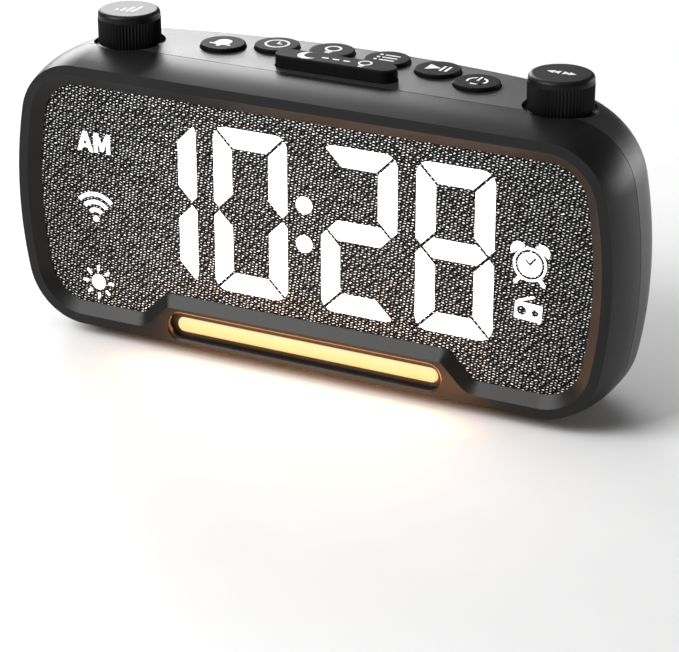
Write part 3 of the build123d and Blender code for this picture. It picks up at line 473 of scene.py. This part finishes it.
def woven_cloth():
    """Melange speaker cloth, in the piece's own coordinates."""
    finish, tree, shader, place = new_finish("grille_fabric", 0.95, Specular_IOR_Level=0.03)
    wander = add(tree, "TexNoise", {"Vector": place, "Scale": 1 / WANDER_SIZE, "Detail": 2.0},
                 out=1)
    loose = add(tree, "VectorMath", {0: wander, 1: (LOOSENESS, 0, LOOSENESS), 2: place},
                operation="MULTIPLY_ADD")
    rising = thread_count(tree, loose, RISING_PITCH, -THREAD_SLANT)
    falling = thread_count(tree, loose, FALLING_PITCH, THREAD_SLANT)
    both = add(tree, "Math", {0: falling, 1: rising}, operation="SUBTRACT")
    crossing = add(tree, "Math", {0: row_wave(tree, rising), 1: row_wave(tree, falling)})
    crossing = add(tree, "Math", {0: row_wave(tree, both), 1: 0.1, 2: crossing},
                   operation="MULTIPLY_ADD")
    dome = add(tree, "MapRange", {"Value": crossing, "From Min": 0.7, "From Max": 1.75})
    knot_place = add(tree, "CombineXYZ", {0: add(tree, "Math", {0: rising}, operation="ROUND"),
                                          1: add(tree, "Math", {0: falling}, operation="ROUND")})
    chance = add(tree, "TexWhiteNoise", {"Vector": knot_place})
    pair = add(tree, "Math", {0: both, 1: rising}, operation="SUBTRACT")
    third = row_wave(tree, add(tree, "Math", {0: pair, 1: 3.0}, operation="DIVIDE"))
    rows = add(tree, "Math", {0: third, 1: 0.60, 2: 0.32}, operation="MULTIPLY_ADD")
    pale = add(tree, "Math", {0: chance, 1: 0.75, 2: rows}, operation="MULTIPLY_ADD")
    mottle = add(tree, "MapRange", {"Value": noise(tree, place, SPECK_SIZE, 1.0), "From Min": 0.4,
                                    "From Max": 0.8, "To Min": 0.0, "To Max": 0.22})
    knot = add(tree, "Math", {0: pale, 1: dome, 2: mottle}, operation="MULTIPLY_ADD")
    colour = ramp(tree, knot, (0.0, (0.003, 0.0025, 0.002)), (0.20, grey(0.02)),
                  (0.55, grey(0.50)), (0.95, grey(0.97)))
    tree.links.new(colour, shader.inputs["Base Color"])
    # Painted glow: the knots shine in their own colour, full in the middle and weaker towards the
    # two ends, in place of light falling on the cloth.
    across = add(tree, "SeparateXYZ", {"Vector": place})
    distance = add(tree, "Math", {0: across}, operation="ABSOLUTE")
    painted_glow_share = add(tree, "MapRange", {"Value": distance, "From Min": PAINTED_GLOW_OUTER,
                                  "From Max": PAINTED_GLOW_INNER, "To Min": 0.4, "To Max": 1.0})
    painted_knot_glow = add(tree, "Mix", {"Factor": painted_glow_share, "A": (0, 0, 0, 1), "B": colour},
                  out=2, data_type="RGBA")
    tree.links.new(painted_knot_glow, shader.inputs["Emission Color"])
    shader.inputs["Emission Strength"].default_value = PAINTED_GLOW_STRENGTH
    relief(tree, shader, dome, 0.12 * MM)
    return finish


FINISHES["grille_fabric"] = woven_cloth()
print("finishes so far:", len(FINISHES))

# %% [markdown]
# ## Light and ink
# The figures and signs are pure white light seen through the cloth, so they are an emission with
# a barely visible weave in it. The marks on the keys and knobs are white printed ink, dull and a
# little uneven where the plastic's grain shows through.

# %% Lit figure and printed ink finishes
FIGURE_STRENGTH = 1.15


def lit_white():
    """White light that has come through cloth."""
    finish, tree, shader, place = new_finish("lit_white", 0.7)
    weave = add(tree, "TexVoronoi", {"Vector": place, "Scale": 1 / RISING_PITCH})
    glow = ramp(tree, weave, (0.2, (1.0, 1.0, 1.0)), (0.8, (0.86, 0.87, 0.90)))
    tree.links.new(glow, shader.inputs["Emission Color"])
    tree.links.new(glow, shader.inputs["Base Color"])
    shader.inputs["Emission Strength"].default_value = FIGURE_STRENGTH
    relief(tree, shader, weave, 0.03 * MM)
    return finish


def printed_ink():
    """White ink, thin where the grain under it is high."""
    finish, tree, shader, place = new_finish("printed_ink", 0.6)
    thin = noise(tree, place, 0.3 * MM, 3.0)
    colour = ramp(tree, thin, (0.3, grey(0.70)), (0.6, grey(0.92)))
    tree.links.new(colour, shader.inputs["Base Color"])
    relief(tree, shader, thin, 0.01 * MM)
    return finish


LIT_WHITE = lit_white()
INK = printed_ink()
print("made", LIT_WHITE.name, "and", INK.name)

# %% [markdown]
# ## Finishes on the finished parts
# A part from the frame keeps its shape and only changes its material. Each already has a slot
# named after its material, so one loop dresses them all.

# %% Dress every part of the frame
for node in NODES.values():
    for slot in node.material_slots:
        slot.material = FINISHES[slot.material.name]
print("parts dressed:", len(NODES))

# %% [markdown]
# The floor is thick white paper. Its tooth is too fine to see from here, so the paper only gets
# a very slight drift of its grey.

# %% Paper for the floor
paper, tree, shader, place = new_finish("studio_paper", 0.9)
drift = noise(tree, place, 40 * MM, 2.0)
tree.links.new(ramp(tree, drift, (0.3, grey(0.86)), (0.7, grey(0.88))), shader.inputs["Base Color"])
floor.data.materials.append(paper)
print("floor in", paper.name)

# %% [markdown]
# ## Helpers for modelling
# New pieces are made the way one works by hand: add a primitive, go into edit mode, inset,
# bevel or cut it, come out and finish it with modifiers. An operator acts on everything that is
# selected, so each helper first clears the selection.

# %% Selecting and editing
def clear_selection():
    """Leave nothing selected, so that the next operator acts on the new piece alone."""
    bpy.ops.object.select_all(action="DESELECT")


def edit(piece):
    """Go into edit mode on one piece, with all of it selected."""
    clear_selection()
    piece.select_set(True)
    bpy.context.view_layer.objects.active = piece
    bpy.ops.object.mode_set(mode="EDIT")
    bpy.ops.mesh.select_all(action="SELECT")


def done():
    """Come back out of edit mode."""
    bpy.ops.object.mode_set(mode="OBJECT")


def settle(piece):
    """Put a piece's place, turn and size into its mesh."""
    clear_selection()
    piece.select_set(True)
    bpy.context.view_layer.objects.active = piece
    bpy.ops.object.transform_apply(location=True, rotation=True, scale=True)

# %% [markdown]
# ## Flat shapes
# The figures, the signs and the printed pictures are all built of three flat shapes: a plate, a
# disc and a ring. They are drawn lying on the ground, looking up, and are turned into place when
# they are done.

# %% Plate, disc and ring
CORNER_STEPS = 6


def plate(width, height, x=0.0, y=0.0, corner=0.0, turn=0.0):
    """A flat rectangle about (x, y), with rounded corners, turned about its own middle."""
    clear_selection()
    bpy.ops.mesh.primitive_plane_add(size=1)
    piece = bpy.context.object
    piece.scale = (width, height, 1)
    settle(piece)
    if corner:
        edit(piece)
        bpy.ops.mesh.bevel(offset=corner, segments=CORNER_STEPS, affect="VERTICES")
        done()
    piece.rotation_euler = (0, 0, turn)
    piece.location = (x, y, 0)
    settle(piece)
    return piece


def disc(radius, x=0.0, y=0.0, sides=40, turn=0.0):
    """A flat disc, or with few sides a triangle or other regular shape."""
    clear_selection()
    bpy.ops.mesh.primitive_circle_add(
        vertices=sides, radius=radius, fill_type="NGON", location=(x, y, 0), rotation=(0, 0, turn))
    piece = bpy.context.object
    settle(piece)
    return piece


def ring(radius, width, x=0.0, y=0.0):
    """A flat ring: a disc whose middle is inset and taken out."""
    piece = disc(radius, x, y)
    edit(piece)
    bpy.ops.mesh.inset(thickness=width)
    bpy.ops.mesh.delete(type="FACE")
    done()
    return piece

# %% [markdown]
# ## Cutting, joining and thickening
# A flat shape is trimmed along straight lines and joined with others. A Solidify modifier then
# gives it a thickness. A hole is cut with a Boolean modifier, once both shapes are thick.

# %% Cutting, joining and thickening
def trim(piece, at, away):
    """Cut a flat piece along the line through at, and drop the side that away points to."""
    edit(piece)
    bpy.ops.mesh.bisect(plane_co=(*at, 0), plane_no=(*away, 0), clear_outer=True)
    done()
    return piece


def join(*pieces):
    """Make several pieces one object."""
    clear_selection()
    for piece in pieces:
        piece.select_set(True)
    bpy.context.view_layer.objects.active = pieces[0]
    bpy.ops.object.join()
    return bpy.context.object


def copy_of(piece):
    """A copy of a piece, with its own mesh."""
    clear_selection()
    piece.select_set(True)
    bpy.context.view_layer.objects.active = piece
    bpy.ops.object.duplicate()
    return bpy.context.object


def modify(piece, kind, **settings):
    """Add a modifier and apply it at once."""
    clear_selection()
    piece.select_set(True)
    bpy.context.view_layer.objects.active = piece
    modifier = piece.modifiers.new(kind.lower(), kind)
    for name, value in settings.items():
        setattr(modifier, name, value)
    bpy.ops.object.modifier_apply(modifier=modifier.name)
    return piece


def hole(piece, cutter):
    """Cut one thick shape out of another, and throw the cutter away."""
    modify(piece, "BOOLEAN", operation="DIFFERENCE", solver="EXACT", object=cutter)
    bpy.data.objects.remove(cutter)
    return piece


def thick(piece, thickness):
    """Give a flat mark a thickness, the same above and below where it was drawn."""
    return modify(piece, "SOLIDIFY", thickness=thickness, offset=0.0)

# %% [markdown]
# ## Naming and placing
# A finished piece gets a name, a finish and the body that it moves with. The figures and signs
# ride on the case, and stand a hair in front of the cloth.

# %% Naming and placing
FACE_PROUD = 0.12 * MM


def name_piece(piece, name, body, finish):
    """Name a finished piece, give it its finish, and hand it to the body that it moves with."""
    piece.name = name
    piece.data.name = name
    piece.data.materials.clear()
    piece.data.materials.append(finish)
    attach(piece, body)
    return piece


def put_on_face(piece, x, z, name, finish):
    """Stand a mark up on the front of the cloth, with its middle at (x, z), and name it."""
    piece.rotation_euler = (pi / 2, 0, 0)
    piece.location = (x, CLOTH_FRONT - FACE_PROUD, z)
    settle(piece)
    return name_piece(piece, name, "case", finish)

# %% [markdown]
# ## The cloth itself
# The cloth is pulled tight over a perforated plate and glued at the back of its edge. Its outline
# is the opening's, with the step for the light bar, so the sheet starts as a copy of the frame's
# plain solid. The copy's loose triangles are merged, only its front is kept, and parallel cuts
# give it enough points to take the slight unevenness of stretched cloth. Stretched over a flat
# plate, it stays within a few hundredths of a millimetre of flat.

# %% Stretched speaker cloth
CLOTH_T = 0.5 * MM
CUT_SPACING = 3 * MM
PUCKER = 0.05 * MM
PUCKER_WIDTH = 7 * MM
PUCKER_HEIGHT = 5 * MM


def cut_across(piece, low, high, spacing, along):
    """Cut a sheet from low to high with parallel planes that face along."""
    edit(piece)
    for step in range(1, int((high - low) / spacing)):
        bpy.ops.mesh.select_all(action="SELECT")
        place = (low + step * spacing) * Vector(along)
        bpy.ops.mesh.bisect(plane_co=place, plane_no=along)
    done()


cloth = copy_of(NODES["grille_cloth"])
edit(cloth)
bpy.ops.mesh.remove_doubles(threshold=0.001 * MM)
bpy.ops.mesh.select_mode(type="FACE")
bpy.ops.mesh.select_all(action="DESELECT")
done()
for face in cloth.data.polygons:
    face.select = face.normal.y > -0.9
bpy.ops.object.mode_set(mode="EDIT")
bpy.ops.mesh.delete(type="FACE")
bpy.ops.mesh.select_all(action="SELECT")
bpy.ops.mesh.dissolve_limited(angle_limit=radians(1))
done()
cut_across(cloth, cloth_low.x, cloth_high.x, CUT_SPACING, (1, 0, 0))
cut_across(cloth, cloth_low.z, cloth_high.z, CUT_SPACING, (0, 0, 1))
bpy.context.tool_settings.mesh_select_mode = (True, False, False)
for point in cloth.data.vertices:
    swell = sin(point.co.x / PUCKER_WIDTH) * cos(point.co.z / PUCKER_HEIGHT)
    point.co.y += PUCKER * (0.5 + 0.5 * swell)
modify(cloth, "SOLIDIFY", thickness=CLOTH_T, offset=-1.0)
name_piece(cloth, "grille_fabric", "case", FINISHES["grille_fabric"])
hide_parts("grille_cloth")

# %% [markdown]
# ## The lit figures
# Each figure has seven segments. All seven are cut from the same rounded plate: every segment is
# what stays of it between the digit's edge, the stroke's inner line and the slanting gaps at its
# ends. The gaps at the corners run at 45 degrees. Those at the waist cross just inside the outer
# edge, which gives the middle bar its pointed ends. A full eight is cut once, and each figure
# copies the segments that it lights.

# %% Seven segments, cut once
MARK_T = 0.16 * MM
DIGIT_W = 24.0 * MM
DIGIT_H = 50.7 * MM
STROKE = 6.03 * MM
DIGIT_CORNER = 4.0 * MM
WAIST_IN = 1.6 * MM
GAP = 0.62 * MM
HALF_W = DIGIT_W / 2
HALF_H = DIGIT_H / 2


def level_segment(up):
    """The top bar with up at 1, the bottom bar with up at -1."""
    piece = plate(DIGIT_W, DIGIT_H, corner=DIGIT_CORNER)
    trim(piece, (0, up * (HALF_H - STROKE)), (0, -up))
    trim(piece, (GAP - HALF_W, up * HALF_H), (-1, -up))
    return trim(piece, (HALF_W - GAP, up * HALF_H), (1, -up))


def upright_segment(side, up):
    """A side bar: side is -1 for left and 1 for right, up is 1 for upper and -1 for lower."""
    piece = plate(DIGIT_W, DIGIT_H, corner=DIGIT_CORNER)
    waist_x = side * (HALF_W - WAIST_IN)
    trim(piece, (side * (HALF_W - STROKE), 0), (-side, 0))
    trim(piece, (side * HALF_W, up * (HALF_H - GAP)), (-side, up))
    trim(piece, (waist_x, up * GAP), (-side, -up))
    return trim(piece, (waist_x, up * GAP), (side, -up))


def middle_segment():
    """The bar at the waist, pointed at both ends."""
    piece = plate(DIGIT_W - 2 * WAIST_IN - 2 * GAP, STROKE)
    point = HALF_W - WAIST_IN - GAP
    for side in (-1, 1):
        for up in (-1, 1):
            trim(piece, (side * point, 0), (side, up))
    return piece


segments = {
    "top": level_segment(1), "bottom": level_segment(-1), "middle": middle_segment(),
    "upper_left": upright_segment(-1, 1), "upper_right": upright_segment(1, 1),
    "lower_left": upright_segment(-1, -1), "lower_right": upright_segment(1, -1),
}
for piece in segments.values():
    thick(piece, MARK_T)
print("segments:", ", ".join(segments))

# %% [markdown]
# The time shown is 10:28. A figure is the copies of its segments joined into one piece, and the
# colon is two round spots between the second and the third figure.

# %% Figures and colon
SHOWN = {
    "1": ("upper_right", "lower_right"),
    "0": ("top", "bottom", "upper_left", "upper_right", "lower_left", "lower_right"),
    "2": ("top", "upper_right", "middle", "lower_left", "bottom"),
    "8": tuple(segments),
}
FIGURES = (("hour_tens", "1", -59.1), ("hour_units", "0", -29.3),
           ("minute_tens", "2", 5.6), ("minute_units", "8", 35.4))
DIGIT_MIDDLE_Z = FACE_MIDDLE_Z + 3.55 * MM
COLON_SPOTS = ((0.15, 9.3), (0.15, -2.6))
COLON_R = 2.65 * MM

for figure, symbol, left in FIGURES:
    lit = join(*[copy_of(segments[name]) for name in SHOWN[symbol]])
    put_on_face(lit, left * MM + HALF_W, DIGIT_MIDDLE_Z, "lit_" + figure,
                LIT_WHITE)
for piece in segments.values():
    bpy.data.objects.remove(piece)

colon = join(*[disc(COLON_R, x * MM, z * MM) for x, z in COLON_SPOTS])
thick(colon, MARK_T)
put_on_face(colon, 0, FACE_MIDDLE_Z, "lit_colon", LIT_WHITE)
print("figures:", len(FIGURES), "of", round(DIGIT_H / MM, 1), "mm")

# %% [markdown]
# ## The signs beside the figures
# At the left are the morning sign, a wireless sign and a summer-time sign. They are drawn from
# discs, rings and bars, each cut along straight lines where it has to stop. All the signs of one
# side stand on one upright line, so only their heights are given.

# %% Signs at the left
SIGN_X = 70.1 * MM


def stroke(start, end, width):
    """A straight bar from one point to another, longer than both by half its width."""
    run = Vector(end) - Vector(start)
    middle = (Vector(start) + Vector(end)) / 2
    return plate(run.length + width, width, middle.x, middle.y, 0, run.angle_signed(Vector((1, 0))))


def letters_am(height):
    """The two bold letters for the morning, cut square at the top and the foot."""
    top = height / 2
    width = 0.21 * height
    lean = 0.34 * height
    letter_a = join(stroke((-lean, -top), (0, top), width), stroke((lean, -top), (0, top), width),
                    plate(0.42 * height, 0.8 * width, 0, -0.22 * height))
    letter_m = join(stroke((-0.36 * height, -top), (-0.36 * height, top), width),
                    stroke((0.36 * height, -top), (0.36 * height, top), width),
                    stroke((-0.34 * height, top), (0, -0.3 * height), 0.9 * width),
                    stroke((0.34 * height, top), (0, -0.3 * height), 0.9 * width))
    for letter, across in ((letter_a, -0.47 * height), (letter_m, 0.50 * height)):
        trim(letter, (0, top), (0, 1))
        trim(letter, (0, -top), (0, -1))
        letter.location.x = across
        settle(letter)
    return join(letter_a, letter_m)


def wireless_sign(size):
    """A spot with three arcs spreading up from it."""
    parts = [disc(0.10 * size, 0, -0.42 * size)]
    for radius in (0.36, 0.62, 0.88):
        arc = ring(radius * size, 0.13 * size, 0, -0.42 * size)
        trim(arc, (0, -0.42 * size), (1, -1))
        trim(arc, (0, -0.42 * size), (-1, -1))
        parts.append(arc)
    return join(*parts)


def sun_sign(size, rays=8):
    """A disc with a ring of short rays round it."""
    parts = [disc(0.22 * size)]
    for step in range(rays):
        angle = 2 * pi * step / rays
        reach = 0.40 * size
        parts.append(plate(0.17 * size, 0.075 * size, reach * cos(angle), reach * sin(angle),
                           0.03 * size, angle))
    return join(*parts)


LEFT_SIGNS = (
    ("lit_morning_sign", thick(letters_am(6.0 * MM), MARK_T), 17.2),
    ("lit_wireless_sign", thick(wireless_sign(9.6 * MM), MARK_T), -2.9),
    ("lit_summer_sign", thick(sun_sign(11.0 * MM), MARK_T), -27.4),
)
for name, piece, z in LEFT_SIGNS:
    put_on_face(piece, -SIGN_X, FACE_MIDDLE_Z + z * MM, name, LIT_WHITE)
print("signs at the left:", len(LEFT_SIGNS))

# %% [markdown]
# At the right are an alarm clock and a small radio. Both have dark lines or openings in them,
# such as the clock's rim and hands. These are cut right through, so the dark cloth shows there.

# %% Signs at the right
def alarm_sign(size):
    """An alarm clock: a disc with its rim and hands cut out, two bells and two feet."""
    body = disc(0.36 * size)
    cuts = (ring(0.315 * size, 0.055 * size),
            stroke((0, 0), (0.11 * size, 0.13 * size), 0.045 * size),
            stroke((0, 0), (-0.08 * size, 0.08 * size), 0.045 * size))
    thick(body, MARK_T)
    for cut in cuts:
        hole(body, thick(cut, 4 * MARK_T))
    parts = [body]
    for side in (-1, 1):
        bell = disc(0.17 * size, side * 0.25 * size, 0.28 * size)
        trim(bell, (side * 0.25 * size, 0.28 * size), (-side * 0.75, -1))
        parts.append(thick(bell, MARK_T))
        foot = plate(0.18 * size, 0.08 * size, side * 0.27 * size, -0.36 * size,
                     0.03 * size, side * radians(-52))
        parts.append(thick(foot, MARK_T))
    return join(*parts)


def radio_sign(size):
    """A small radio with an aerial and two round openings, tipped a little."""
    box = thick(plate(0.98 * size, 0.62 * size, 0, -0.12 * size, 0.05 * size), MARK_T)
    for side, radius in ((-1, 0.17), (1, 0.13)):
        hole(box, thick(disc(radius * size, side * 0.24 * size, -0.12 * size), 4 * MARK_T))
    aerial = thick(plate(0.62 * size, 0.09 * size, -0.12 * size, 0.32 * size,
                         0.03 * size, radians(24)), MARK_T)
    radio = join(box, aerial)
    radio.rotation_euler = (0, 0, radians(-4))
    settle(radio)
    return radio


put_on_face(alarm_sign(14.0 * MM), SIGN_X, FACE_MIDDLE_Z + 3.8 * MM, "lit_alarm_sign",
            LIT_WHITE)
put_on_face(radio_sign(8.4 * MM), SIGN_X, FACE_MIDDLE_Z - 9.3 * MM, "lit_radio_sign",
            LIT_WHITE)
print("signs at the right: 2")

# %% [markdown]
# ## Pictures for the round keys
# Each round key carries a small printed picture of what it does, in the place where a word might
# be: a bell, a clock, a lamp, a list of stations, play and pause, and power. Each is drawn about
# the middle of its key, in shares of one size, so that all six can be made larger together.

# %% Bell, clock and lamp
def clock_mark(size):
    """A clock face with two hands."""
    return join(ring(0.5 * size, 0.09 * size), plate(0.08 * size, 0.30 * size, 0, 0.12 * size),
                plate(0.24 * size, 0.08 * size, 0.09 * size, 0))


def bell_mark(size):
    """A bell with its clapper."""
    dome = trim(disc(0.32 * size, 0, 0.08 * size), (0, 0.08 * size), (0, -1))
    return join(dome, plate(0.64 * size, 0.30 * size, 0, -0.05 * size),
                plate(0.92 * size, 0.10 * size, 0, -0.25 * size, 0.04 * size),
                disc(0.10 * size, 0, -0.40 * size))


def lamp_mark(size):
    """A lamp bulb and the lines of its cap."""
    return join(ring(0.34 * size, 0.09 * size, 0, 0.12 * size),
                plate(0.30 * size, 0.08 * size, 0, -0.30 * size),
                plate(0.22 * size, 0.08 * size, 0, -0.44 * size))

# %% [markdown]
# The other three stand for sound: the list of stored stations, play and pause, and the power.

# %% List, play and power
def list_mark(size):
    """Three lines with a spot before each, for stored stations."""
    parts = []
    for row in (-1, 0, 1):
        parts.append(disc(0.07 * size, -0.38 * size, 0.3 * row * size, 16))
        parts.append(plate(0.62 * size, 0.09 * size, 0.10 * size, 0.3 * row * size))
    return join(*parts)


def play_mark(size):
    """A triangle and two bars, for play and pause."""
    return join(disc(0.36 * size, -0.24 * size, 0, 3, radians(-90)),
                plate(0.10 * size, 0.60 * size, 0.20 * size, 0),
                plate(0.10 * size, 0.60 * size, 0.42 * size, 0))


def power_mark(size):
    """A broken ring with a stroke in the break."""
    arc = ring(0.42 * size, 0.09 * size)
    left = trim(copy_of(arc), (-0.14 * size, 0), (1, 0))
    right = trim(copy_of(arc), (0.14 * size, 0), (-1, 0))
    low = trim(arc, (0, -0.2 * size), (0, 1))
    return join(left, right, low, plate(0.09 * size, 0.46 * size, 0, 0.26 * size))

# %% [markdown]
# ## Pictures for the long key and the knobs
# The long key has three pictures: a moon, three short strokes for a short wait, and the lamp
# again. The left knob has bars that grow, and the right one has arrows that point apart. A moon
# needs a hole through a thick shape, so it is given its thickness here, and the others later.

# %% Moon, strokes, bars and arrows
INK_T = 0.06 * MM


def moon_mark(size):
    """A crescent moon: a disc with a second disc cut out of it."""
    moon = thick(disc(0.5 * size), INK_T)
    return hole(moon, thick(disc(0.42 * size, 0.20 * size, 0.14 * size), 4 * INK_T))


def dots_mark(size):
    """Three short strokes in a row, for a short wait."""
    return join(*[plate(0.34 * size, 0.14 * size, 0.55 * step * size, 0, 0.05 * size)
                  for step in (-1, 0, 1)])


def volume_mark(size):
    """Bars that grow, for loudness."""
    return join(*[plate(0.12 * size, (0.2 + 0.2 * step) * size, (step - 1.5) * 0.22 * size,
                        (0.1 * step - 0.3) * size) for step in range(4)])


def seek_mark(size):
    """Two arrows that point apart, for tuning."""
    parts = []
    for side in (-1, 1):
        turn = radians(-90 * side)
        parts.append(disc(0.24 * size, side * 0.20 * size, 0, 3, turn))
        parts.append(disc(0.24 * size, side * 0.48 * size, 0, 3, turn))
    return join(*parts)

# %% [markdown]
# ## Printing the pictures
# A print is a skin of ink, so it is only a few hundredths of a millimetre thick. It lies on the
# top of its key or knob and rides on the same body, so that it goes down with the key or turns
# with the knob.

# %% Print on the keys and knobs
def print_on_top(mark, node, body, name, across=0.0, thickness=INK_T):
    """Lay a mark on top of a node, in the middle or moved along it, and let it ride on the body.

    A mark that has its thickness already is passed with a thickness of 0.
    """
    low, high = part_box(node)
    if thickness:
        thick(mark, thickness)
    mark.location = ((low.x + high.x) / 2 + across, (low.y + high.y) / 2, high.z + INK_T / 2)
    settle(mark)
    return name_piece(mark, name, body, INK)


KEY_MARKS = {"alarm": bell_mark, "clock": clock_mark, "light": lamp_mark,
             "preset": list_mark, "play": play_mark, "power": power_mark}
KEY_MARK_SIZE = 7.6 * MM
for key, draw in KEY_MARKS.items():
    print_on_top(draw(KEY_MARK_SIZE), key + "_button", key + "_key", key + "_mark")

SNOOZE_MARK_SIZE = 6.2 * MM
SNOOZE_MARK_STEP = 9 * MM
print_on_top(moon_mark(SNOOZE_MARK_SIZE), "snooze_bar", "snooze_key", "snooze_moon_mark",
             across=-SNOOZE_MARK_STEP, thickness=0)
print_on_top(dots_mark(SNOOZE_MARK_SIZE), "snooze_bar", "snooze_key", "snooze_dots_mark")
print_on_top(lamp_mark(SNOOZE_MARK_SIZE), "snooze_bar", "snooze_key", "snooze_lamp_mark",
             across=SNOOZE_MARK_STEP)
print_on_top(volume_mark(8.0 * MM), "left_knob", "left_dial", "volume_mark")
print_on_top(seek_mark(6.0 * MM), "right_knob", "right_dial", "seek_mark")
print("round keys with a mark:", len(KEY_MARKS))

# %% [markdown]
# ## Warm spill from the light bar
# The lens glows, and the light it throws warms the pocket round it, the paper in front and, off
# the paper, the lower edge of the bezel. Three lamps that the camera can't see do the throwing,
# so the lens itself keeps its even yellow: a weak one inside the pocket, one just in front of the
# case that shines out over the paper, and one close to the paper that shines back at the case.

# %% Warm spill
lens_length = lens_high.x - lens_low.x
light_panel("light_bar_spill", place=(0, bezel_low.y - 3 * MM, LENS_MIDDLE_Z),
            size=(lens_length, 2 * LENS_HALF), watts=0.025,
            aim=(0, -1, -0.4), colour=(1.0, 0.46, 0.14))
light_panel("pocket_glow", place=(0, lens_low.y - 0.4 * MM, LENS_MIDDLE_Z),
            size=(lens_length, LENS_HALF), watts=0.010,
            aim=(0, -1, 0), colour=(1.0, 0.36, 0.10))
light_panel("lip_glow", place=(0, bezel_low.y - 16 * MM, 3 * MM),
            size=(1.2 * lens_length, 5 * MM), watts=0.019,
            aim=(0, 0, LENS_MIDDLE_Z), colour=(1.0, 0.42, 0.14))
print("light bar", round(lens_length / MM, 1), "mm long")
